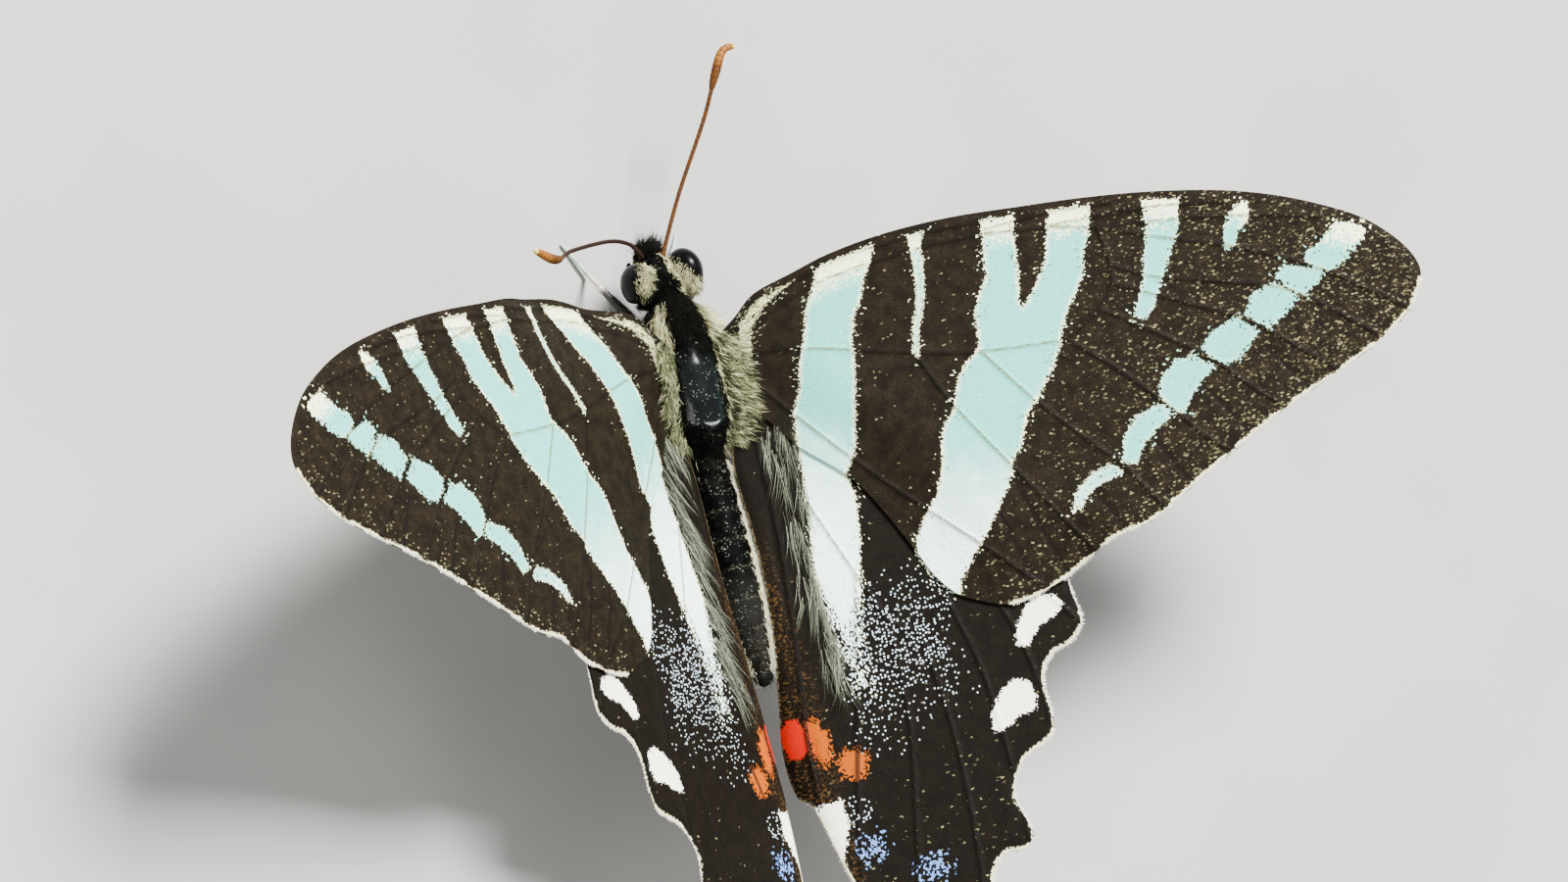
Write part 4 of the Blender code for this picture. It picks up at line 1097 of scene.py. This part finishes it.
def makeRuff(name, side, draw, material):      # over the edge of an eye
    count = hair["ruff"]
    towards, level = hair["ruffPlace"][name]
    ball = unit(draw.normal(size=(count * 12, 3)))
    spots = ball * eye["radii"]
    cover = spots @ np.array(towards)
    chosen = np.nonzero((cover > level) & (ball[:, 0] > -0.93) & (ball[:, 2] > -0.6))[0][:count]
    ball, spots, cover = ball[chosen], spots[chosen], cover[chosen]
    outward = unit(ball / eye["radii"])
    lean = outward * 0.4 + np.array([-0.1, 0.75, 0.1]) + draw.normal(size=spots.shape) * 0.34
    onLeft = side > 0
    cream = draw.uniform(0.35, 1.0, len(spots)) * (1 - ease(spots[:, 1], 0.55, 0.85) * onLeft)
    cream = cream * (spots[:, 2] > -0.5) * (1 - ease(cover, 0.6, 0.78) * onLeft)
    marks = {"cream": cream, "grey": (1 - cream) * 0.4 * (cream > 0), "white": 0.0}
    for line in (spots, outward, lean):
        line[:, 0] *= side
    maps = np.stack([0.955 + 0.015 * ball[:, 0], 0.3 + 0.1 * ball[:, 1]], axis=1)
    lengths = 0.3 + hair["ruffLength"][name] * draw.uniform(size=len(spots))
    plantTufts(f"eye_{name}_ruff", eyePlace(side) + spots * 0.985, outward, lean, lengths, marks, maps, draw,
               material, 0.2)


def makeFur():
    hair["shortStrand"], hair["longStrand"] = makeStrand(*hair["short"]), makeStrand(*hair["long"])
    draw = np.random.default_rng(hair["seed"])
    material = furMaterial()
    for part, (count, low, high) in hair["parts"].items():
        makeCoat(part, count, low, high, draw, material)
    makeBrowTuft(draw, material)
    for makePair in (makeShoulderHair, makeRuff):
        for name, side in sides.items():
            makePair(name, side, draw, material)


innerHair = {
    "seed": 5, "locks": 105, "each": 6, "width": 0.02, "swing": {"left": -0.42, "right": -0.12},
    "stretch": (2.5, 19.0),    # where the hair stands, mm back and mm out from the hinge
    "inner": ([2.5, 6, 12, 20], [0.2, 0.7, 0.5, 0.7]),
    "outer": ([2.5, 6, 9.7, 13, 20], [2.4, 2.75, 2.2, 1.8, 1.9]),
}


def innerHairMaterial():
    material, wires, shader = newMaterial("innerHair", 0.45, Specular_IOR_Level=0.2)
    chance, = wires.attributes("chance")
    colour = (chance * chance * chance).mix(tone(18, 19, 12), tone(196, 204, 172))
    feed(shader, Base_Color=colour, Roughness=0.4 + chance * 0.2)
    return material


def makeInnerHair():           # long pale hairs that lie along each hindwing beside the abdomen
    draw = np.random.default_rng(innerHair["seed"])
    material = innerHairMaterial()
    locks, each = innerHair["locks"], innerHair["each"]
    for name, side in sides.items():
        back = draw.uniform(*innerHair["stretch"], locks)
        inner, outer = [np.interp(back, *innerHair[edge]) for edge in ("inner", "outer")]
        across = draw.uniform(size=locks) ** 0.7
        flat = np.stack([inner + (outer - inner) * across, back], axis=1)
        flat = np.repeat(flat, each, axis=0) + draw.normal(size=(locks * each, 2)) * (0.1, 0.25)
        count = len(flat)
        swing = np.repeat(draw.normal(innerHair["swing"][name], 0.14, locks), each)
        swing = swing + draw.normal(size=count) * 0.05
        lengths = np.repeat(draw.uniform(2.2, 4.2, locks), each) * draw.uniform(0.8, 1.1, count)
        root = onWing(flat, 0.12, "hindwing", side)
        end = flat + np.stack([swing, np.ones(count)], axis=1) * lengths[:, None]
        tip = onWing(end, draw.uniform(0.15, 0.5, count), "hindwing", side)
        top = onWing(flat, 1.12, "hindwing", side) - root
        lean = (tip - root) / (lengths * mm)[:, None] + top / mm * 0.16
        curl = -top / mm * 0.16 + np.repeat(draw.normal(size=(locks, 3)) * 0.13, each, axis=0)
        curl = curl + draw.normal(size=(count, 3)) * 0.04
        maps = np.stack([0.1 + flat[:, 0] * 0.2, 0.05 + flat[:, 1] * 0.04], axis=1)
        plantHair(f"inner_hair_{name}", root, lean, lengths, innerHair["width"], curl,
                  material, {"chance": draw.uniform(size=count)}, maps)


fringe = {"seed": 9, "step": 0.065, "jitter": 0.02, "length": 0.34, "width": 0.12, "thick": 0.25, "set": 0.12}
whiteEdges = [                 # where the hindwing's fringe is white
    [(16.0, 17.0), (16.2, 19.3)], [(15.8, 20.7), (13.3, 22.0), (13.1, 24.0)],
    [(12.7, 26.2), (10.3, 27.0), (9.7, 28.5), (10.0, 30.2)], [(9.4, 31.8), (7.5, 32.0), (7.0, 33.5)],
    [(-1.9, 26.4), (-0.9, 31.2)],
]


def fringeMaterial():
    material, wires, shader = newMaterial("fringeScales", 0.6)
    pale, chance = wires.attributes("pale", "chance")
    dark = chance.mix(tone(30, 24, 20), tone(64, 52, 42))
    light = chance.mix(tone(206, 200, 176), tone(246, 244, 232))
    colour = (pale + (chance - 0.5) * 0.5 > 0.5).mix(dark, light)
    feed(shader, Base_Color=colour, Roughness=0.5 + chance * 0.2)
    return material


def makeEdgeScales(kind, name, line, draw, material):
    side, reach = sides[name], lengthsAlong(line)[-1]
    marks = np.arange(0, reach, fringe["step"])
    marks = marks + draw.uniform(-fringe["jitter"], fringe["jitter"], len(marks))
    flat = spotsAlong(line, marks)
    run = np.gradient(flat, axis=0)
    away = unit(np.stack([run[:, 1], -run[:, 0]], axis=1), 1e-6)
    away *= -1 if kind == "forewing" else 1
    away[insideOf(flat + away * 0.2, wing[kind])] *= -1
    away += draw.normal(size=away.shape) * 0.12
    flat = flat - away * fringe["set"]
    root = onWing(flat, 0.0, kind, side)
    lean = (onWing(flat + away, 0.0, kind, side) - root) / mm
    if kind == "forewing":     # white in short runs
        pale = 0.9 * ease(np.sin(marks * 1.9) + 0.9, 0, 0.5)
    else:
        pale = np.maximum(ease(0.9 - nearLines(flat, whiteEdges), 0, 0.3), (flat[:, 1] > 37) * 0.62)
    lengths = fringe["length"] * draw.uniform(0.75, 1.15, len(flat)) * (0.8 + 0.35 * pale)
    maps = np.stack([0.05 + 0.9 * marks / reach, np.full(len(flat), 0.5)], axis=1)
    curl = draw.normal(size=(len(flat), 3)) * 0.03 + (0, 0, 0.06)
    plantHair(f"{kind}_{name}_fringe", root, lean, lengths, fringe["width"], curl, material,
              {"pale": pale, "chance": draw.uniform(size=len(flat))}, maps, fringe["thick"])


def makeFringe():              # flat scales along the outer margins
    draw = np.random.default_rng(fringe["seed"])
    material = fringeMaterial()
    for kind, lines in wingLines.items():
        line = joinedLines(lines["fringe"], 8)
        for name in sides:
            makeEdgeScales(kind, name, line, draw, material)


# eyes, antennae, proboscis and legs
eye = {"centre": (1.7, -6.9, -1.1), "radii": (0.98, 1.34, 1.33), "turns": 64, "levels": 40, "facets": 24000.0,
       "relief": 0.000008}


def eyePlace(side):
    return turnHead(np.array([eye["centre"]]) * (side, 1, 1))[0]


def eyeMaterial():
    material, wires, shader = newMaterial("eyeShell", 0.2, Coat_Weight=0.07, Coat_Roughness=0.08,
                                          Specular_IOR_Level=0.05)
    place = wires.objectPlace()
    facets = wires.cells(place, eye["facets"], 0, "3D")
    level = wires.node("ShaderNodeSeparateXYZ", {}, {0: place}, 2)
    colour = wires.noise(place, 900.0, 1.0).rise(0.35, 0.65).mix(tone(3, 3, 4), tone(10, 9, 9))
    colour = level.rise(0.0047, 0.0040).mix(colour, tone(20, 15, 12))     # browner low down
    feed(shader, Base_Color=colour, Roughness=0.16 + facets * 0.25)
    addBump(wires, shader, 1.0 - facets, eye["relief"], 0.4)
    return material


def makeEyes():
    material = eyeMaterial()
    for name, side in sides.items():
        bpy.ops.object.select_all(action="DESELECT")
        bpy.ops.mesh.primitive_uv_sphere_add(segments=eye["turns"], ring_count=eye["levels"], radius=1)
        ball = bpy.context.object
        found = places(ball) * eye["radii"] + np.array(eye["centre"]) * (side, 1, 1)
        setPlaces(ball, toFrame(turnHead(found)))
        finishPiece(ball, f"eye_{name}_shell", material, [f"eye_{name}"])
    print("eyes ready")


antenna = {
    "right": [(-0.5, -8.2, -1.15), (-0.43, -8.4, -0.9), (-2.0, -11.6, 0.0), (-4.2, -15.5, 1.3),
              (-5.3, -18.0, 2.2), (-6.0, -19.25, 2.55), (-6.9, -19.45, 2.7)],
    "left": [(1.0, -8.2, -1.15), (1.13, -8.45, -0.9), (2.0, -9.1, -0.4), (3.9, -9.25, 0.6), (7.3, -8.7, 2.2),
             (9.2, -8.05, 3.5), (11.3, -8.5, 5.0)],
    # how far the shaft darkens away from the club: the left antenna's full share is painted shade, as it lies
    # in shade
    "dark": {"left": 1.0, "right": 0.25},
    "shaft": 0.13, "base": 0.16, "club": 0.29, "clubLength": 3.4, "tip": 0.22, "ring": 0.34, "ringSteps": 6,
    "sides": 20, "relief": 0.00001,
}


def antennaMaterial():
    material, wires, shader = newMaterial("feelerShell", 0.42, Specular_IOR_Level=0.12)
    toTip, ring, dark = wires.attributes("toTip", "ring", "dark")
    fine = wires.noise(wires.objectPlace(), 7000.0)
    colour = layered(
        fine.rise(0.3, 0.7).mix(tone(48, 25, 2), tone(80, 45, 3)),
        # darker shaft: the antenna's own tone, with painted shade on the left antenna
        (toTip.rise(2.6, 4.2) * dark, tone(22, 11, 6)),
        (toTip.rise(2.2, 1.2) * 0.55, tone(140, 84, 22)),
        (toTip.rise(0.35, 0.12) * 0.85, tone(214, 178, 80)),
        (ring.rise(0.55, 1.0) * 0.55, tone(48, 22, 10)),
    )
    feed(shader, Base_Color=colour, Roughness=0.36 + fine * 0.2)
    addBump(wires, shader, fine, antenna["relief"], 0.5)
    return material


def makeAntennae():
    material = antennaMaterial()
    shaft, steps = antenna["shaft"], antenna["ringSteps"]
    for name in sides:
        line = smoothLine(antenna[name], 20)
        reach = lengthsAlong(line)[-1]
        marks = np.linspace(0, reach, round(reach / antenna["ring"]) * steps + 1)
        path = spotsAlong(line, marks)
        waist = np.abs((np.arange(len(marks)) % steps) / steps - 0.5) * 2
        toTip = reach - marks
        swell = np.sin(math.pi * np.clip(1 - toTip / antenna["clubLength"], 0, 1) ** 0.72 * 0.93)
        radii = shaft + (antenna["club"] - shaft) * np.clip(swell, 0, 1)
        radii += (antenna["base"] - shaft) * ease(0.9 - marks, 0, 0.6)
        radii *= 1.03 - 0.1 * waist ** 3
        radii *= np.sqrt(np.clip(toTip / antenna["tip"], 0, 1))
        radii[0] = radii[-1] = 0.001
        feeler = wrapTube(path, radii, antenna["sides"])
        nearest = nearestStep(feeler, path)
        marks = {"toTip": toTip[nearest], "ring": waist[nearest], "dark": antenna["dark"][name]}
        setAttributes(feeler, marks)
        setPlaces(feeler, toFrame(places(feeler)))
        finishPiece(feeler, f"antenna_{name}_shell", material, [f"antenna_{name}"])
    print("antennae ready")


proboscis = {
    "steps": 90, "turns": 2.6, "sides": 14, "middle": (-7.5, -3.88), "reach": 0.72, "narrowing": 0.5,
    "sway": 0.04,
    "radii": ([0, 0.02, 0.9, 1], [0.02, 0.12, 0.07, 0.001]),
}


def makeProboscis():
    steps = np.linspace(0, 1, proboscis["steps"])
    turn = 2 * math.pi * proboscis["turns"] * steps
    reach = proboscis["reach"] - proboscis["narrowing"] * steps
    back, level = proboscis["middle"]
    across = proboscis["sway"] * np.sin(turn * 0.5)
    path = np.stack([across, back + reach * np.sin(turn), level + reach * np.cos(turn)], axis=1)
    radii = np.interp(steps, *proboscis["radii"])
    radii[0] = 0.001
    radii *= 1 - 0.08 * (np.arange(proboscis["steps"]) % 2)
    coil = wrapTube(path, radii, proboscis["sides"])
    setPlaces(coil, toFrame(turnHead(places(coil))))
    material, wires, shader = newMaterial("tongue", 0.35)
    fine = wires.noise(wires.objectPlace(), 5000.0)
    feed(shader, Base_Color=fine.mix(tone(30, 20, 14), tone(96, 62, 34)))
    finishPiece(coil, "proboscis_coil", material, ["proboscis"])
    print("proboscis ready")


legs = {                       # hip, knee, ankle and toe
    "foreleg_left": [(0.95, -4.0, -3.55), (3.2, -7.25, -3.0), (2.42, -8.8, -5.55), (3.5, -11.0, -5.8)],
    "foreleg_right": [(-0.95, -4.0, -3.55), (-3.5, -7.1, -3.0), (-3.1, -8.4, -5.55), (-4.4, -10.4, -5.8)],
    "midleg_left": [(1.25, -1.1, -4.0), (5.2, -2.4, -2.7), (7.0, -3.1, -5.5), (9.6, -4.4, -5.8)],
    "midleg_right": [(-1.25, -1.1, -4.0), (-5.3, -2.0, -2.7), (-7.2, -2.4, -5.5), (-9.9, -3.2, -5.8)],
    "hindleg_left": [(1.1, 1.7, -3.85), (4.6, 5.4, -2.9), (6.2, 9.8, -5.5), (7.4, 13.8, -5.8)],
    "hindleg_right": [(-1.1, 1.7, -3.85), (-4.8, 5.2, -2.9), (-6.6, 9.5, -5.5), (-8.1, 13.4, -5.8)],
}
legLook = {
    "seed": 11, "steps": 16, "thigh": (0.34, 0.38, 0.2), "knee": 0.17, "shin": (0.15, 0.14), "ankle": 0.15,
    "foot": 0.135, "footJoints": 5, "sides": 16, "bow": 0.12,
    "hairs": 260, "hairWidth": 0.03, "thighHair": 0.5, "shinHair": 0.22, "relief": 0.00002,
}


def legMaterial():
    material, wires, shader = newMaterial("legShell", 0.5)
    along, chance = wires.attributes("along", "chance")
    fine = wires.noise(wires.objectPlace(), 6000.0)
    border = along + (fine - 0.5) * 0.12
    colour = layered(
        fine.rise(0.3, 0.7).mix(tone(16, 14, 13), tone(40, 36, 32)),
        (border.rise(0.92, 1.02), fine.mix(tone(170, 166, 138), tone(214, 210, 182))),
        (border.rise(1.9, 2.0), fine.mix(tone(128, 152, 138), tone(168, 190, 174))),
        (chance * 0.3, tone(90, 90, 80)),
    )
    feed(shader, Base_Color=colour, Roughness=0.4 + fine * 0.25)
    addBump(wires, shader, fine, legLook["relief"], 0.6)
    return material


def legPath(joints):           # places, radii, and how far along: 0 to 1 thigh, 1 to 2 shin, 2 to 3 foot
    hip, knee, ankle, toe = [np.array(joint) for joint in joints]
    hip = hip + (hip - knee) * 0.12 + np.array([0, 0, 0.25])
    toe = toe + np.array([0, 0, legLook["foot"] - 0.2 + 0.01])
    path, radii, along = [], [], []
    for t in np.linspace(0, 1, legLook["steps"]):
        path.append(hip + (knee - hip) * t + np.array([0, 0, legLook["bow"] * math.sin(math.pi * t)]))
        radii.append(np.interp(t, [0, 0.45, 0.93, 1], [*legLook["thigh"], legLook["knee"]]))
        along.append(t)
    for t in np.linspace(0.05, 1, legLook["steps"]):
        path.append(knee + (ankle - knee) * t)
        radii.append(np.interp(t, [0, 0.2, 0.9, 1], [legLook["knee"], *legLook["shin"], legLook["ankle"]]))
        along.append(1 + t)
    count = legLook["footJoints"] * 5
    for step in range(1, count + 1):
        t = step / count
        path.append(ankle + (toe - ankle) * t)
        radii.append(legLook["foot"] * (1.0 - 0.22 * t) * (0.86 + 0.16 * math.sin(math.pi * (step % 5 / 5))))
        along.append(2 + t)
    radii[0] = radii[-1] = 0.001
    return np.array(path), np.array(radii), np.array(along)


def makeLegHair(name, path, radii, along, draw, material):
    count = legLook["hairs"]
    pick = draw.integers(1, len(path) - 12, count)
    spread = draw.normal(size=(count, 3))
    run = unit(np.gradient(path, axis=0)[pick])
    spread = unit(spread - run * (spread * run).sum(axis=1)[:, None])
    roots = path[pick] + spread * radii[pick][:, None] * 0.9
    lengths = np.where(along[pick] < 1, legLook["thighHair"], legLook["shinHair"])
    lengths = lengths * draw.uniform(0.6, 1.2, count)
    maps = np.stack([0.05 + 0.9 * pick / len(path), 0.5 + spread[:, 2] * 0.4], axis=1)
    plantHair(f"{name}_hair", toFrame(roots), run * 0.9 + spread * 0.5, lengths, legLook["hairWidth"],
              -spread * 0.1 + run * 0.05, material,
              {"along": along[pick], "chance": draw.uniform(size=count)}, maps)


def makeLegs():
    material = legMaterial()
    draw = np.random.default_rng(legLook["seed"])
    for name, joints in legs.items():
        path, radii, along = legPath(joints)
        leg = wrapTube(path, radii, legLook["sides"])
        found = places(leg)
        setAttributes(leg, {"along": along[nearestStep(leg, path)], "chance": 0.0})
        found[:, 2] = np.maximum(found[:, 2], -hingeLevel + 0.001)
        setPlaces(leg, toFrame(found))
        nodes = [f"{name}_{part}" for part in ("femur", "tibia", "tarsus")]
        finishPiece(leg, f"{name}_shell", material, nodes)
        makeLegHair(name, path, radii, along, draw, material)
    print("legs ready")


makeStudio()
makeWings()
makeSkin()
makeFur()
makeInnerHair()
makeFringe()
makeEyes()
makeAntennae()
makeProboscis()
makeLegs()
